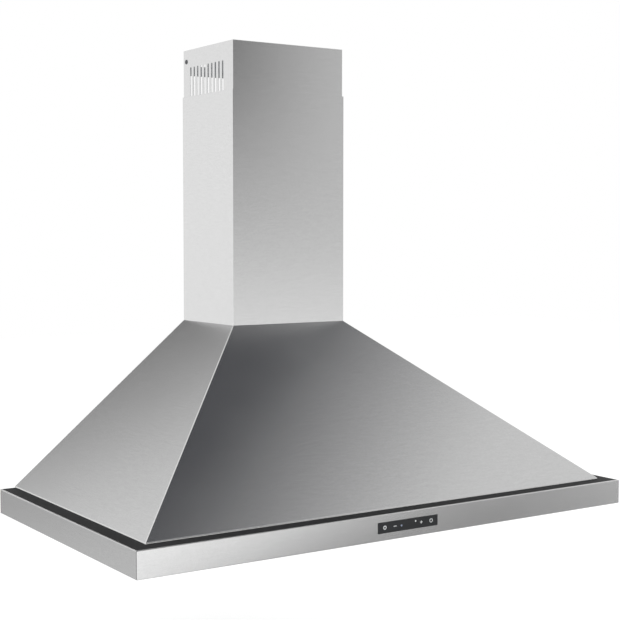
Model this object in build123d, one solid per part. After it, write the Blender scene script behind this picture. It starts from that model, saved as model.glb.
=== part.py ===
"""Wall-mounted chimney range hood, 900 mm wide.

X runs to the right as one faces the hood, Y runs back to the wall (the wall plane is y = 0) and Z runs up
from the lower edge of the rim. All sizes are in millimetres.
"""
from build123d import *
from math import cos, pi, radians, sin, sqrt
import os

# ---------------------------------------------------------------- canopy
hood_width = 900.0
hood_depth = 500.0
rim_height = 39.5
ledge_width = 25.0            # from the rim's face to the foot of the canopy
canopy_height = 263.5         # from the ledge to the top of the canopy
sheet = 1.0                   # stainless sheet of the rim, canopy and liner
rim_top_return = 2.5
rim_bottom_return = 15.0
canopy_foot = 15.0            # turned-in foot of the canopy, from its outer face
canopy_kick = 2.0             # upright strip at the bottom of each canopy panel

# ---------------------------------------------------------------- chimney
chimney_width = 222.0
chimney_depth = 172.0
cover_sheet = 0.8
lower_cover_height = 388.0
upper_cover_height = 380.0
upper_cover_exposed = 80.0    # how much of the upper cover shows at rest
cover_gap = 0.9               # between the two covers, on each side
cover_return = 12.0           # turned-in rear edges and lower tabs
lower_return_stop = 85.0      # the lower cover's rear edges end this far below its top
slot_count = 10
slot_pitch = 12.2
slot_width = 5.0
slot_length = 60.0
slot_top_drop = 30.0          # from the top of the upper cover to the slots
slot_first = 27.0             # from the wall to the first slot
bracket_sheet = 1.2
bracket_height = 37.5
bracket_drop = 4.0            # from the top of the upper cover to the bracket
bracket_wing = 22.0
bracket_screw_in = 11.35      # from the wall to the bracket's side screws
bracket_screw_drop = 19.6     # from the top of the upper cover
bracket_screw_head = 8.0
bracket_hole_height = 6.0     # slotted wall holes of the bracket
bracket_hole_length = 14.0
bracket_hole_pitch = 140.0
bracket_hole_drop = 21.5      # from the top of the upper cover
bracket_head_height = 0.6
bracket_screw_length = 7.0
bracket_screw_drive = 3.2
cover_tab_margin = 20.0       # from the lower cover's corners to its bottom tabs
cover_screw_margin = 30.0     # from the wall, and from the cover's front, to its bottom screws
return_below_bracket = 30.0   # from the bracket to the upper cover's rear edges
upper_return_front = 2.0      # rear edges of the upper cover, from the wall
upper_return_rear = 1.2

# ---------------------------------------------------------------- back panel
keyhole_round = 12.0
keyhole_neck = 6.5
keyhole_pitch = 200.0
keyhole_drop = 41.0           # below the top of the canopy
safety_hole = 6.0
safety_side = 150.0           # from the hood's side to a safety hole
safety_height = 110.0
knockout_bore = 22.2
knockout_x = 170.0
knockout_z = 95.0

# ---------------------------------------------------------------- touch control
glass_width = 113.0
glass_height = 16.0
glass_thick = 2.8
glass_proud = 0.4
glass_z = 19.5                # centre of the glass above the rim's lower edge
glass_clearance = 0.3
housing_border = 6.0
housing_depth = 12.0
housing_wall = 1.5
housing_top_border = 4.0
housing_post = 5.0
housing_post_inset = 8.0
window_margin = 2.5
board_thick = 1.6
board_margin = 4.0
control_board_inset = 6.5     # from the rim's face to the touch board
control_chip = 9.0
control_chip_height = 1.2
control_chip_places = (-30.0, 8.0)
control_chip_margin = 4.0
glass_edge = 0.3

# ---------------------------------------------------------------- liner and filters
liner_drop = 12.0             # underside of the liner above the rim's lower edge
liner_foot = 12.0             # flange of the liner that lies on the rim's return
well_side_gap = 42.0          # from the hood's side to the filter well
well_front_gap = 110.0        # from the hood's front to the filter well
well_rear = 70.0              # from the wall to the filter well
well_height = 26.0
filter_count = 3
filter_gap = 3.0
filter_rear_gap = 3.5
filter_front_gap = 1.5
filter_height = 14.0
filter_sheet = 0.8
filter_frame = 10.0
baffle_pitch = 28.0
baffle_width = 20.0
baffle_leg = 6.8
hinge_barrel = 5.0
hinge_height = 4.0            # barrel centre above the filter's underside
hinge_clearance = 0.1
hinge_spread = 170.0          # between a filter's two hinge tabs
hinge_tab = 24.0
hinge_leaf = 1.2
latch_width = 44.0
latch_length = 34.0
latch_thick = 2.6
latch_reach = 5.0             # how far the tongue stands out of the filter
latch_travel = 6.0
latch_clearance = 0.2
latch_housing = 60.0
latch_room = 3.0              # behind the latch at the end of its travel
latch_nose = 1.2
grip_front = 12.0             # from the filter's front face to the grip of its latch
grip_width = 26.0
grip_length = 10.0
grip_drop = 4.0
grip_edge = 1.5
grip_hollow = 2.2
rivet_head = 6.0
rivet_shank = 3.2
rivet_head_height = 1.0
rivet_corner = 70.0           # from the hood's side to the outer front rivets
rivet_end = 100.0             # from the wall, and from the front, to the side rivets

# ---------------------------------------------------------------- lights
light_side = 200.0            # from the hood's side to a light's middle
light_front = 62.0            # from the hood's front to a light's middle
lens_diameter = 54.0
lens_thick = 2.0
bezel_width = 7.0
bezel_lip = 1.5
bezel_wall = 1.6
bezel_height = 13.0
light_clearance = 0.4
lens_clearance = 0.2
lens_seat = 1.0
lens_rise = 0.5
bezel_edge = 1.0
lamp_height = 22.0
fin_count = 10
fin_groove = 3.0
fin_depth = 5.0
fin_rise = 1.0

# ---------------------------------------------------------------- blower
blower_y = 151.0
blower_z = 150.0
wheel_diameter = 164.0
wheel_length = 140.0
blade_count = 36
blade_depth = 15.0
blade_thick = 1.0
blade_lean = 22.0
wheel_disc = 2.0
wheel_ring = 2.0
hub_diameter = 22.0
hub_length = 18.0
shaft_diameter = 8.0
shaft_clearance = 0.05
scroll_width = 160.0
scroll_gap = 8.0              # between the wheel and the scroll at the tongue
scroll_step = 10.0            # growth of the scroll in each quarter turn
outlet_flare = 23.0
outlet_in = 10.0              # how far the outlet's front wall stands behind the wheel's axis
flare_start = 100.0
tongue_crest = 130.0          # degrees
outlet_flange = 12.0
outlet_screw_in = 6.0
outlet_screw_end = 30.0
outlet_tab_height = 14.0
outlet_tab_margin = 10.0
inlet_bore = 136.0
motor_diameter = 92.0
motor_length = 64.0
motor_edge = 5.0
motor_gap = 13.0              # between the wheel's hub and the motor
motor_boss = 40.0
motor_boss_length = 8.0
motor_end = 7.0               # solid end of the motor behind its shaft
motor_ring = 6.0
motor_arm = 12.0
motor_arm_angles = (90.0, 210.0, 330.0)
motor_arm_end = 6.0
motor_arm_sink = 2.0
shaft_stub = 6.0
shaft_edge = 0.6
bracket_thick = 4.0
capacitor_diameter = 30.0
capacitor_length = 56.0
capacitor_rear = 98.0         # behind and above the wheel's axis
capacitor_rise = 74.0
capacitor_edge = 1.5
strap_rise = 20.0
strap_height = 10.0
strap_width = 34.0
strap_reach = 8.0

# ---------------------------------------------------------------- outlet collar and damper
collar_diameter = 150.0
collar_wall = 2.0
collar_height = 41.5
collar_flange = 166.0
collar_flange_thick = 1.5
collar_screw_in = 3.5
damper_stop = 3.0
damper_stop_thick = 2.0
damper_stop_gap = 0.3
damper_rod = 3.0
damper_rod_spacing = 9.0
damper_height = 14.0          # rods above the collar's foot
flap_thick = 0.8
flap_gap = 1.2
eye_wall = 1.1
eye_clearance = 0.1
eye_length = 14.0
eye_spread = 44.0
eye_lug = 6.0

# ---------------------------------------------------------------- electrical boxes and leads
box_sheet = 1.0
power_box_size = (120.0, 50.0, 80.0)
power_box_corner = (-245.0, 60.0)
junction_box_size = (80.0, 40.0, 70.0)
junction_box_corner = (130.0, 60.0)
lid_screw_in = 6.0
lid_screw_length = 8.0
lid_ear = 11.0
lid_ear_depth = 8.0
power_board_inset = 8.0
power_board_stand = 10.0
stand_places = (22.0, 14.0)
stand_diameter = 6.0
transformer_place = (24.0, 22.0)
transformer_size = (26.0, 18.0, 28.0)
relay_place = (62.0, 20.0)
relay_size = (16.0, 14.0, 14.0)
coil_place = (24.0, 24.0)
coil_size = (12.0, 20.0)
socket_place = (56.0, 22.0)
socket_size = (28.0, 9.0, 10.0)
terminal_place = (16.0, 12.0)
terminal_size = (36.0, 16.0, 12.0)
terminal_pitch = 12.0
terminal_hole = 5.0
terminal_hole_depth = 6.0
lead_diameter = 5.0
lamp_lead_diameter = 4.0
clip_width = 10.0
clip_wall = 1.2
side_clip_shares = (0.32, 0.64)       # of the hood's depth, from the wall
rear_clip_middle = 60.0
rear_clip_side = 150.0                # from the hood's side
front_clip_sides = (120.0, 290.0)     # from the hood's side
supply_clip_places = (-30.0, 30.0)
small_screw = 3.0
small_screw_head = 6.0
small_screw_head_height = 1.8
drive_slot_length = 4.0
drive_slot_width = 0.8
drive_slot_depth = 0.7

# ---------------------------------------------------------------- routes of the leads
exit_y = -26.0                # leads of the power box where they leave it
exit_run = 20.0
supply_end_y = -21.0
supply_end_z = 84.0
supply_y = -9.0               # supply lead where it is clipped to the back panel
supply_z = 52.0
supply_run = 26.0
supply_fall = 58.0
supply_bends = (20.0, 24.0, 24.0, 20.0)
motor_lead_in = 22.0
motor_lead_rise = 24.0
motor_lead_turn = (6.0, -62.0, 46.0)
motor_lead_crest = (44.0, -106.0, 44.0)
motor_lead_run = 22.0
motor_lead_end = (16.0, 18.0)         # from the motor's axis
motor_lead_bends = (20.0, 28.0, 22.0, 12.0)
control_lead_in = 30.0
control_lead_fall = (28.0, -36.0, 5.0)
control_lead_foot = 72.0
control_lead_bends = (14.0, 30.0, 60.0)
control_lead_last_bends = (60.0, 6.0)
control_lead_rise_x = -75.0
control_lead_end_x = -40.0
control_lead_end_run = 2.0
strip_side = 13.0             # control lead, from the filter well
strip_rear_y = -40.0
strip_front = 24.0            # from the hood's front
strip_corner = 37.0           # bend of the control lead at the corners of the well
lead_spacing = 7.0            # between the control lead and the lamp lead beside it
lamp_lead_ins = (55.0, 25.0)
lamp_lead_fall = (18.0, -38.0, 9.0)
lamp_lead_foot = 56.0
lamp_lead_rise = (56.0, 18.0)
lamp_lead_exit_rise = 5.5
lamp_lead_bends = (14.0, 24.0, 60.0)
lamp_lead_last_bends = (40.0, 30.0)

# ---------------------------------------------------------------- room for cuts
over = 1.0                    # how far a cut runs past a face
through = 5.0
mitre_reach = (-2, 20)        # reach of the mitre cuts outward and inward, in skins

# ---------------------------------------------------------------- worked out from the above
half_width = hood_width / 2
canopy_base = rim_height
canopy_top = rim_height + canopy_height
foot_x = half_width - ledge_width
foot_y = hood_depth - ledge_width
top_x = chimney_width / 2
top_y = chimney_depth
kick_top = canopy_base + canopy_kick
side_slope = (foot_x - top_x) / (canopy_top - kick_top)
front_slope = (foot_y - top_y) / (canopy_top - kick_top)
side_skin = sheet * sqrt(1 + side_slope ** 2)
front_skin = sheet * sqrt(1 + front_slope ** 2)
liner_top = liner_drop + sheet
well_width = hood_width - 2 * well_side_gap
well_front = hood_depth - well_front_gap
well_x = well_width / 2
well_top = liner_drop + well_height
filter_width = (well_width - (filter_count + 1) * filter_gap) / filter_count
filter_length = well_front - well_rear - filter_rear_gap - filter_front_gap
filter_rear = -(well_rear + filter_rear_gap)
filter_front = filter_rear - filter_length
hinge_y = -(well_rear - sheet / 2)
hinge_z = liner_drop + hinge_height
hinge_slot = hinge_barrel / 2 + hinge_clearance
light_x = half_width - light_side
light_y = hood_depth - light_front
light_hole = lens_diameter / 2 + bezel_wall + light_clearance
light_base = liner_drop - bezel_lip
control_board_y = -(hood_depth - control_board_inset)
lower_cover_top = canopy_top + lower_cover_height
upper_cover_top = lower_cover_top + upper_cover_exposed
upper_cover_foot = upper_cover_top - upper_cover_height
upper_x = top_x - cover_sheet - cover_gap
upper_y = top_y - cover_sheet - cover_gap
collar_radius = collar_diameter / 2
collar_bore = collar_radius - collar_wall
duct_y = chimney_depth / 2    # duct centre, from the wall
damper_z = canopy_top + damper_height
wheel_radius = wheel_diameter / 2
housing_front = hood_depth - sheet
half_step = scroll_step / 2
tongue_radius = wheel_radius + scroll_gap + half_step
motor_inner = -(hub_length / 2 + motor_gap)
motor_outer = motor_inner - motor_length
motor_screw_reach = inlet_bore / 2 + motor_arm_end
lead_radius = lead_diameter / 2
lamp_lead_radius = lamp_lead_diameter / 2
power_box_wall = power_box_corner[0] + power_box_size[0]
power_box_floor = power_box_corner[1]
junction_box_wall = junction_box_corner[0]
strip_x = well_x + strip_side
strip_front_y = -(hood_depth - strip_front)
lamp_corner = strip_corner - lead_spacing
strip_z = liner_top + lead_radius
lamp_strip_z = liner_top + lamp_lead_radius
lamp_x = light_x + lens_diameter / 2
lamp_exit_z = light_base + bezel_height + lamp_lead_exit_rise


def block(x0, x1, y0, y1, z0, z1):
    """Box between two opposite corners."""
    middle = Pos((x0 + x1) / 2, (y0 + y1) / 2, (z0 + z1) / 2)
    return middle * Box(x1 - x0, y1 - y0, z1 - z0)


def outline(points):
    return make_face(Polyline(*points, close=True))


def along_x(points, x0, x1):
    """Outline of (y, z) points, extruded from x0 to x1."""
    return Pos(x0, 0, 0) * extrude(Plane.YZ * outline(points), x1 - x0)


def along_y(points, y0, y1):
    """Outline of (x, z) points, extruded from y0 to y1."""
    return Pos(0, y1, 0) * extrude(Plane.XZ * outline(points), y1 - y0)


def along_z(points, z0, z1):
    """Outline of (x, y) points, extruded from z0 to z1."""
    return Pos(0, 0, z0) * extrude(outline(points), z1 - z0)


def rod_x(x0, x1, y, z, radius):
    return Pos((x0 + x1) / 2, y, z) * Rot(0, 90, 0) * Cylinder(radius, abs(x1 - x0))


def rod_y(x, y0, y1, z, radius):
    return Pos(x, (y0 + y1) / 2, z) * Rot(90, 0, 0) * Cylinder(radius, abs(y1 - y0))


def rod_z(x, y, z0, z1, radius):
    return Pos(x, y, (z0 + z1) / 2) * Cylinder(radius, abs(z1 - z0))


def oblong_y(x, z, length, height):
    """Cutter through the back of the hood for a slot with round ends, lying along X."""
    reach = (length - height) / 2
    middle = block(x - reach, x + reach, -through, through, z - height / 2, z + height / 2)
    ends = [rod_y(end, -through, through, z, height / 2) for end in (x - reach, x + reach)]
    return middle.fuse(*ends)


def sloped_solid(lower, upper):
    """Solid between two polygons with as many corners each, joined by flat sides."""
    faces = [Face(Wire.make_polygon(lower, close=True)), Face(Wire.make_polygon(upper, close=True))]
    for i in range(len(lower)):
        j = (i + 1) % len(lower)
        faces.append(Face(Wire.make_polygon([lower[i], lower[j], upper[j], upper[i]], close=True)))
    return Solid(Shell(faces))


def mirrored(shape):
    return mirror(shape, about=Plane.YZ)


def group(shapes):
    """Separate solids kept together in one node."""
    return Compound(children=[solid for shape in shapes for solid in shape.solids()])


# ---------------------------------------------------------------- rim and ledge
def rim_section():
    """Section of a rim panel, as (distance in from the outer face, height)."""
    return [
        (0, 0),
        (0, rim_height),
        (rim_top_return, rim_height),
        (rim_top_return, rim_height - sheet),
        (sheet, rim_height - sheet),
        (sheet, sheet),
        (rim_bottom_return, sheet),
        (rim_bottom_return, 0),
    ]


def make_rim_front():
    section = [(-hood_depth + inward, z) for inward, z in rim_section()]
    panel = along_x(section, -half_width, half_width)
    mitre = rim_bottom_return + through
    plan = [
        (-half_width - over, -hood_depth - over),
        (half_width + over, -hood_depth - over),
        (half_width - mitre, -hood_depth + mitre),
        (-half_width + mitre, -hood_depth + mitre),
    ]
    panel = panel & along_z(plan, -over, rim_height + over)
    cut_x = glass_width / 2 + glass_clearance
    cut_z = glass_height / 2 + glass_clearance
    front = -hood_depth
    return panel - block(-cut_x, cut_x, front - over, front + sheet + over, glass_z - cut_z, glass_z + cut_z)


def make_rim_side():
    """Right-hand rim panel. The left one is its mirror image."""
    section = [(half_width - inward, z) for inward, z in rim_section()]
    panel = along_y(section, -hood_depth, -sheet)
    mitre = rim_bottom_return + through
    plan = [
        (half_width + over, -hood_depth - over),
        (half_width + over, -sheet),
        (half_width - mitre, -sheet),
        (half_width - mitre, -hood_depth + mitre),
    ]
    return panel & along_z(plan, -over, rim_height + over)


def make_ledge():
    outer_x = half_width - rim_top_return
    outer_y = hood_depth - rim_top_return
    inner_x = foot_x - canopy_foot
    inner_y = foot_y - canopy_foot
    plate = block(-outer_x, outer_x, -outer_y, -sheet, canopy_base - sheet, canopy_base)
    return plate - block(-inner_x, inner_x, -inner_y, over, canopy_base - 2 * sheet, canopy_base + sheet)


# ---------------------------------------------------------------- canopy
def canopy_x(z):
    """Half width of the canopy's outer face at a height."""
    return foot_x - side_slope * max(z - kick_top, 0)


def canopy_y(z):
    """Distance from the wall to the canopy's front face at a height."""
    return foot_y - front_slope * max(z - kick_top, 0)


def canopy_section(face_at, slope, skin):
    """Section of a canopy panel with its turned-in foot, as (distance from the middle or wall, height)."""
    return [
        (face_at(canopy_base), canopy_base),
        (face_at(kick_top), kick_top),
        (face_at(canopy_top), canopy_top),
        (face_at(canopy_top) - skin, canopy_top),
        (face_at(canopy_base) - sheet, kick_top - (skin - sheet) / slope),
        (face_at(canopy_base) - sheet, canopy_base + sheet),
        (face_at(canopy_base) - canopy_foot, canopy_base + sheet),
        (face_at(canopy_base) - canopy_foot, canopy_base),
    ]


def mitre_corner(z, steps):
    """Point on the mitre of the right front corner, a number of skins in from the edge."""
    return canopy_x(z) - steps * side_skin, -canopy_y(z) + steps * front_skin


def mitre_solid(ring_at):
    """Cutting solid that follows the corner edges, upright along the kick and sloping above it."""
    lower = sloped_solid(ring_at(canopy_base), ring_at(kick_top))
    upper = sloped_solid(ring_at(kick_top), ring_at(canopy_top))
    return lower + upper


def front_ring(z):
    out_x, out_y = mitre_corner(z, mitre_reach[0])
    in_x, in_y = mitre_corner(z, mitre_reach[1])
    return [(-out_x, out_y, z), (out_x, out_y, z), (in_x, in_y, z), (-in_x, in_y, z)]


def side_ring(z):
    out_x, out_y = mitre_corner(z, mitre_reach[0])
    in_x, in_y = mitre_corner(z, mitre_reach[1])
    return [(out_x, out_y, z), (out_x, -sheet, z), (in_x, -sheet, z), (in_x, in_y, z)]


def make_canopy_front():
    section = [(-y, z) for y, z in canopy_section(canopy_y, front_slope, front_skin)]
    return along_x(section, -foot_x, foot_x) & mitre_solid(front_ring)


def make_canopy_side():
    """Right-hand canopy panel. The left one is its mirror image."""
    section = canopy_section(canopy_x, side_slope, side_skin)
    return along_y(section, -foot_y, -sheet) & mitre_solid(side_ring)


def keyhole(x):
    centre_z = canopy_top - keyhole_drop
    neck = keyhole_neck / 2
    round_end = rod_y(x, -through, through, centre_z, keyhole_round / 2)
    slot = block(x - neck, x + neck, -through, through, centre_z, centre_z + keyhole_round)
    return round_end + slot + rod_y(x, -through, through, centre_z + keyhole_round, neck)


def make_back_panel():
    half = [
        (half_width, 0),
        (half_width, rim_height),
        (foot_x, canopy_base),
        (foot_x, kick_top),
        (top_x, canopy_top),
    ]
    shape = half + [(-x, z) for x, z in reversed(half)]
    panel = along_y(shape, -sheet, 0)
    return_x = half_width - rim_bottom_return
    panel = panel + block(-return_x, return_x, -rim_bottom_return, -sheet, 0, sheet)
    safety_x = half_width - safety_side
    for side in (-1, 1):
        panel = panel - keyhole(side * keyhole_pitch / 2)
        panel = panel - rod_y(side * safety_x, -through, through, safety_height, safety_hole / 2)
    return panel - rod_y(knockout_x, -through, through, knockout_z, knockout_bore / 2)


def make_top_plate():
    edge_x = top_x - side_skin
    edge_y = top_y - front_skin
    plate = block(-edge_x, edge_x, -edge_y, -sheet, canopy_top - sheet, canopy_top)
    plate = plate - rod_z(0, -duct_y, canopy_top - through, canopy_top + through, collar_bore)
    for x, y in collar_screw_places() + cover_screw_places() + outlet_screw_places():
        plate = plate - rod_z(x, y, canopy_top - through, canopy_top + through, small_screw / 2)
    return plate


# ---------------------------------------------------------------- screws and rivets
def small_screw_down(x, y, seat, length):
    """Pan-head screw whose head sits on the height given as its seat."""
    head = rod_z(x, y, seat, seat + small_screw_head_height, small_screw_head / 2)
    half_x = drive_slot_length / 2
    half_y = drive_slot_width / 2
    floor = seat + small_screw_head_height - drive_slot_depth
    slot = block(x - half_x, x + half_x, y - half_y, y + half_y, floor, floor + through)
    return head + rod_z(x, y, seat - length, seat, small_screw / 2) - slot


def small_screw_up(x, y, seat, length):
    turned = Rot(180, 0, 0) * small_screw_down(0, 0, 0, length)
    return Pos(x, y, seat) * turned


def small_screw_back(x, z, seat_y, length):
    """Pan-head screw that points to the wall, with its head in front of seat_y."""
    turned = Rot(90, 0, 0) * small_screw_down(0, 0, 0, length)
    return Pos(x, seat_y, z) * turned


def rivet_places():
    edge_x = half_width - rim_bottom_return / 2 - sheet / 2
    edge_y = hood_depth - rim_bottom_return / 2 - sheet / 2
    outer_x = half_width - rivet_corner
    places = [(x, -edge_y) for x in (-outer_x, -outer_x / 2, outer_x / 2, outer_x)]
    for side in (-1, 1):
        places += [(side * edge_x, y) for y in (rivet_end - hood_depth, -hood_depth / 2, -rivet_end)]
    return places


def make_rivets():
    rivets = []
    for x, y in rivet_places():
        shank = rod_z(x, y, 0, 2 * sheet, rivet_shank / 2)
        head = rod_z(x, y, 2 * sheet, 2 * sheet + rivet_head_height, rivet_head / 2)
        rivets.append(shank + head)
    return group(rivets)


def drill_rivets(panel):
    for x, y in rivet_places():
        panel = panel - rod_z(x, y, -over, 3 * sheet, rivet_shank / 2)
    return panel


# ---------------------------------------------------------------- liner and filters
def filter_centres():
    step = filter_width + filter_gap
    return [(i - (filter_count - 1) / 2) * step for i in range(filter_count)]


def make_liner():
    edge_x = half_width - rim_bottom_return
    front = -(hood_depth - rim_bottom_return)
    rear = -rim_bottom_return
    tray = block(-edge_x, edge_x, front, rear, sheet, liner_top)
    tray = tray - block(-edge_x + sheet, edge_x - sheet, front + sheet, rear - sheet, 0, liner_drop)
    foot = block(
        -edge_x - liner_foot, edge_x + liner_foot, front - liner_foot, rear + liner_foot - sheet,
        sheet, 2 * sheet,
    )
    foot = foot - block(-edge_x + sheet, edge_x - sheet, front + sheet, rear - sheet, 0, 3 * sheet)
    well_outer = block(
        -well_x - sheet, well_x + sheet, -well_front - sheet, -well_rear + sheet, liner_drop, well_top
    )
    liner = tray + foot + well_outer
    liner = liner - block(-well_x, well_x, -well_front, -well_rear, liner_drop - over, well_top + over)
    tongue = latch_width / 2 + over
    for centre in filter_centres():
        for side in (-1, 1):
            middle = centre + side * hinge_spread / 2
            half_slot = hinge_tab / 2 + over
            liner = liner - block(
                middle - half_slot, middle + half_slot, -well_rear - over, -well_rear + sheet + over,
                hinge_z - hinge_slot, hinge_z + hinge_slot,
            )
        liner = liner - block(
            centre - tongue, centre + tongue, -well_front - latch_reach - 2 * over, -well_front + over,
            liner_drop - over, liner_top + sheet + latch_thick + over,
        )
    for side in (-1, 1):
        liner = liner - rod_z(side * light_x, -light_y, 0, well_top, light_hole)
    return drill_rivets(liner)


def baffle(x, floor, upward, x_from=None, x_to=None):
    """Folded channel that runs from front to rear and opens upward or downward."""
    left = x - baffle_width / 2 if x_from is None else x_from
    right = x + baffle_width / 2 if x_to is None else x_to
    y0 = filter_front + filter_sheet / 2
    y1 = filter_rear - filter_sheet / 2
    top = floor + baffle_leg
    base = (floor, floor + filter_sheet) if upward else (top - filter_sheet, top)
    plates = [block(left, right, y0, y1, *base)]
    if x_from is None:
        plates.append(block(left, left + filter_sheet, y0, y1, floor, top))
    if x_to is None:
        plates.append(block(right - filter_sheet, right, y0, y1, floor, top))
    return plates


def make_filter_blank():
    """Baffle filter centred on x = 0: folded frame, two layers of channels, latch housing and hinge tabs."""
    half = filter_width / 2
    low = liner_drop
    high = liner_drop + filter_height
    frame = block(-half, half, filter_front, filter_rear, low, high)
    frame = frame - block(
        -half + filter_sheet, half - filter_sheet, filter_front + filter_sheet, filter_rear - filter_sheet,
        low + filter_sheet, high - filter_sheet,
    )
    frame = frame - block(
        -half + filter_frame, half - filter_frame, filter_front + filter_frame, filter_rear - filter_frame,
        low - over, high + over,
    )
    lower_count = int((filter_width - 2 * filter_frame) // baffle_pitch)
    channels = []
    for i in range(lower_count):
        x = (i - (lower_count - 1) / 2) * baffle_pitch
        channels += baffle(x, low + filter_sheet, True)
    upper_floor = high - filter_sheet - baffle_leg
    for i in range(lower_count - 1):
        x = (i - (lower_count - 2) / 2) * baffle_pitch
        channels += baffle(x, upper_floor, False)
    last = lower_count / 2 * baffle_pitch
    channels += baffle(last, upper_floor, False, x_to=half - filter_sheet / 2)
    channels += baffle(-last, upper_floor, False, x_from=-half + filter_sheet / 2)
    housing_x = latch_housing / 2
    housing_rear = filter_front + latch_length + latch_travel + latch_room
    housing_top = low + filter_sheet + latch_thick + 2 * latch_clearance + filter_sheet
    hollow = block(
        -housing_x, housing_x, filter_front + filter_sheet, housing_rear, low + filter_sheet,
        housing_top - filter_sheet,
    )
    box = block(
        -housing_x - filter_sheet, housing_x + filter_sheet, filter_front + filter_sheet / 2,
        housing_rear + filter_sheet, low, housing_top,
    )
    body = frame.fuse(*channels, box) - hollow
    slide_slot = block(
        -(grip_width + over) / 2, (grip_width + over) / 2, filter_front + grip_front - over / 2,
        filter_front + grip_front + grip_length + latch_travel + over, low - over, low + filter_sheet + 0.1,
    )
    tongue_window = block(
        -latch_width / 2 - latch_clearance, latch_width / 2 + latch_clearance, filter_front - over,
        filter_front + filter_sheet + over, low + filter_sheet, housing_top - filter_sheet,
    )
    body = body - slide_slot - tongue_window
    for side in (-1, 1):
        x = side * hinge_spread / 2
        body = body + hinge_lug(x)
    return body


def hinge_lug(x):
    """Rolled tab at the filter's rear edge that sits in a slot of the well."""
    x0 = x - hinge_tab / 2
    x1 = x + hinge_tab / 2
    barrel = rod_x(x0, x1, hinge_y, hinge_z, hinge_barrel / 2)
    low = hinge_z - hinge_leaf / 2
    neck = block(x0, x1, filter_rear - filter_sheet, hinge_y, low, low + hinge_leaf)
    tail = block(x0, x1, hinge_y, hinge_y + hinge_barrel, low, low + hinge_leaf)
    return barrel + neck + tail


def make_latch_blank():
    low = liner_drop + filter_sheet + latch_clearance
    high = low + latch_thick
    half = latch_width / 2
    plate = block(-half, half, filter_front - latch_reach, filter_front + latch_length, low, high)
    plate = chamfer(plate.edges().filter_by(Axis.X).group_by(Axis.Y)[0].group_by(Axis.Z)[-1], latch_nose)
    grip = block(
        -grip_width / 2, grip_width / 2, filter_front + grip_front, filter_front + grip_front + grip_length,
        liner_drop - grip_drop, low + latch_thick / 2,
    )
    grip = chamfer(grip.edges().filter_by(Axis.X).group_by(Axis.Z)[0], grip_edge)
    thumb = rod_x(-grip_width, grip_width, filter_front + grip_front, liner_drop - grip_drop, grip_hollow)
    return plate + (grip - thumb)


# ---------------------------------------------------------------- touch control
def make_glass():
    face = -(hood_depth + glass_proud)
    half = glass_width / 2
    low = glass_z - glass_height / 2
    glass = block(-half, half, face, face + glass_thick, low, low + glass_height)
    return chamfer(glass.faces().sort_by(Axis.Y)[0].edges(), glass_edge)


def make_control_housing():
    front = -housing_front
    rear = front + housing_depth
    half_x = glass_width / 2 + housing_border
    half_z = glass_height / 2 + housing_top_border
    inner_x = half_x - housing_wall
    inner_z = half_z - housing_wall
    seat = -(hood_depth + glass_proud) + glass_thick
    shell = block(-half_x, half_x, front, rear, glass_z - half_z, glass_z + half_z)
    cavity = block(
        -inner_x, inner_x, seat + housing_wall, rear - housing_wall, glass_z - inner_z, glass_z + inner_z
    )
    window_x = glass_width / 2 - board_margin
    window_z = glass_height / 2 - window_margin
    window_rear = rear - 2 * housing_wall
    window = block(-window_x, window_x, front - over, window_rear, glass_z - window_z, glass_z + window_z)
    recess_x = glass_width / 2 + glass_clearance
    recess_z = glass_height / 2 + glass_clearance
    recess = block(-recess_x, recess_x, front - over, seat, glass_z - recess_z, glass_z + recess_z)
    shell = shell - cavity - window - recess
    for x in (-half_x + housing_post_inset, half_x - housing_post_inset):
        shell = shell + rod_y(x, control_board_y + board_thick, rear - over, glass_z, housing_post / 2)
    return shell


def make_control_board():
    half_x = glass_width / 2
    half_z = glass_height / 2 - over
    board = block(
        -half_x, half_x, control_board_y, control_board_y + board_thick, glass_z - half_z, glass_z + half_z
    )
    rear = control_board_y + board_thick
    chip_z = glass_height / 2 - control_chip_margin
    for x in control_chip_places:
        board = board + block(
            x, x + control_chip, rear, rear + control_chip_height, glass_z - chip_z, glass_z + chip_z
        )
    return board


# ---------------------------------------------------------------- lights
def make_bezel(side):
    bore = lens_diameter / 2 + lens_clearance
    seat = light_base + lens_rise
    x = side * light_x
    ring = rod_z(x, -light_y, light_base, liner_drop, light_hole + bezel_width - bezel_wall)
    ring = chamfer(ring.edges().group_by(Axis.Z)[0], bezel_edge)
    sleeve = rod_z(x, -light_y, liner_drop, light_base + bezel_height, bore + bezel_wall)
    opening = rod_z(x, -light_y, light_base - over, seat, bore - lens_seat)
    lens_bore = rod_z(x, -light_y, seat, light_base + bezel_height + over, bore)
    return ring + sleeve - opening - lens_bore


def make_lens(side):
    low = light_base + lens_rise
    return rod_z(side * light_x, -light_y, low, low + lens_thick, lens_diameter / 2)


def make_lamp(side):
    x = side * light_x
    low = light_base + lens_rise + lens_thick
    radius = lens_diameter / 2
    body = rod_z(x, -light_y, low, low + lamp_height, radius)
    fin_low = light_base + bezel_height + fin_rise
    step = 360 / fin_count
    for i in range(fin_count):
        groove = Pos(radius, 0, fin_low + lamp_height / 2) * Box(2 * fin_depth, fin_groove, lamp_height)
        body = body - Pos(x, -light_y, 0) * Rot(0, 0, (i + 0.5) * step) * groove
    return body


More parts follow.
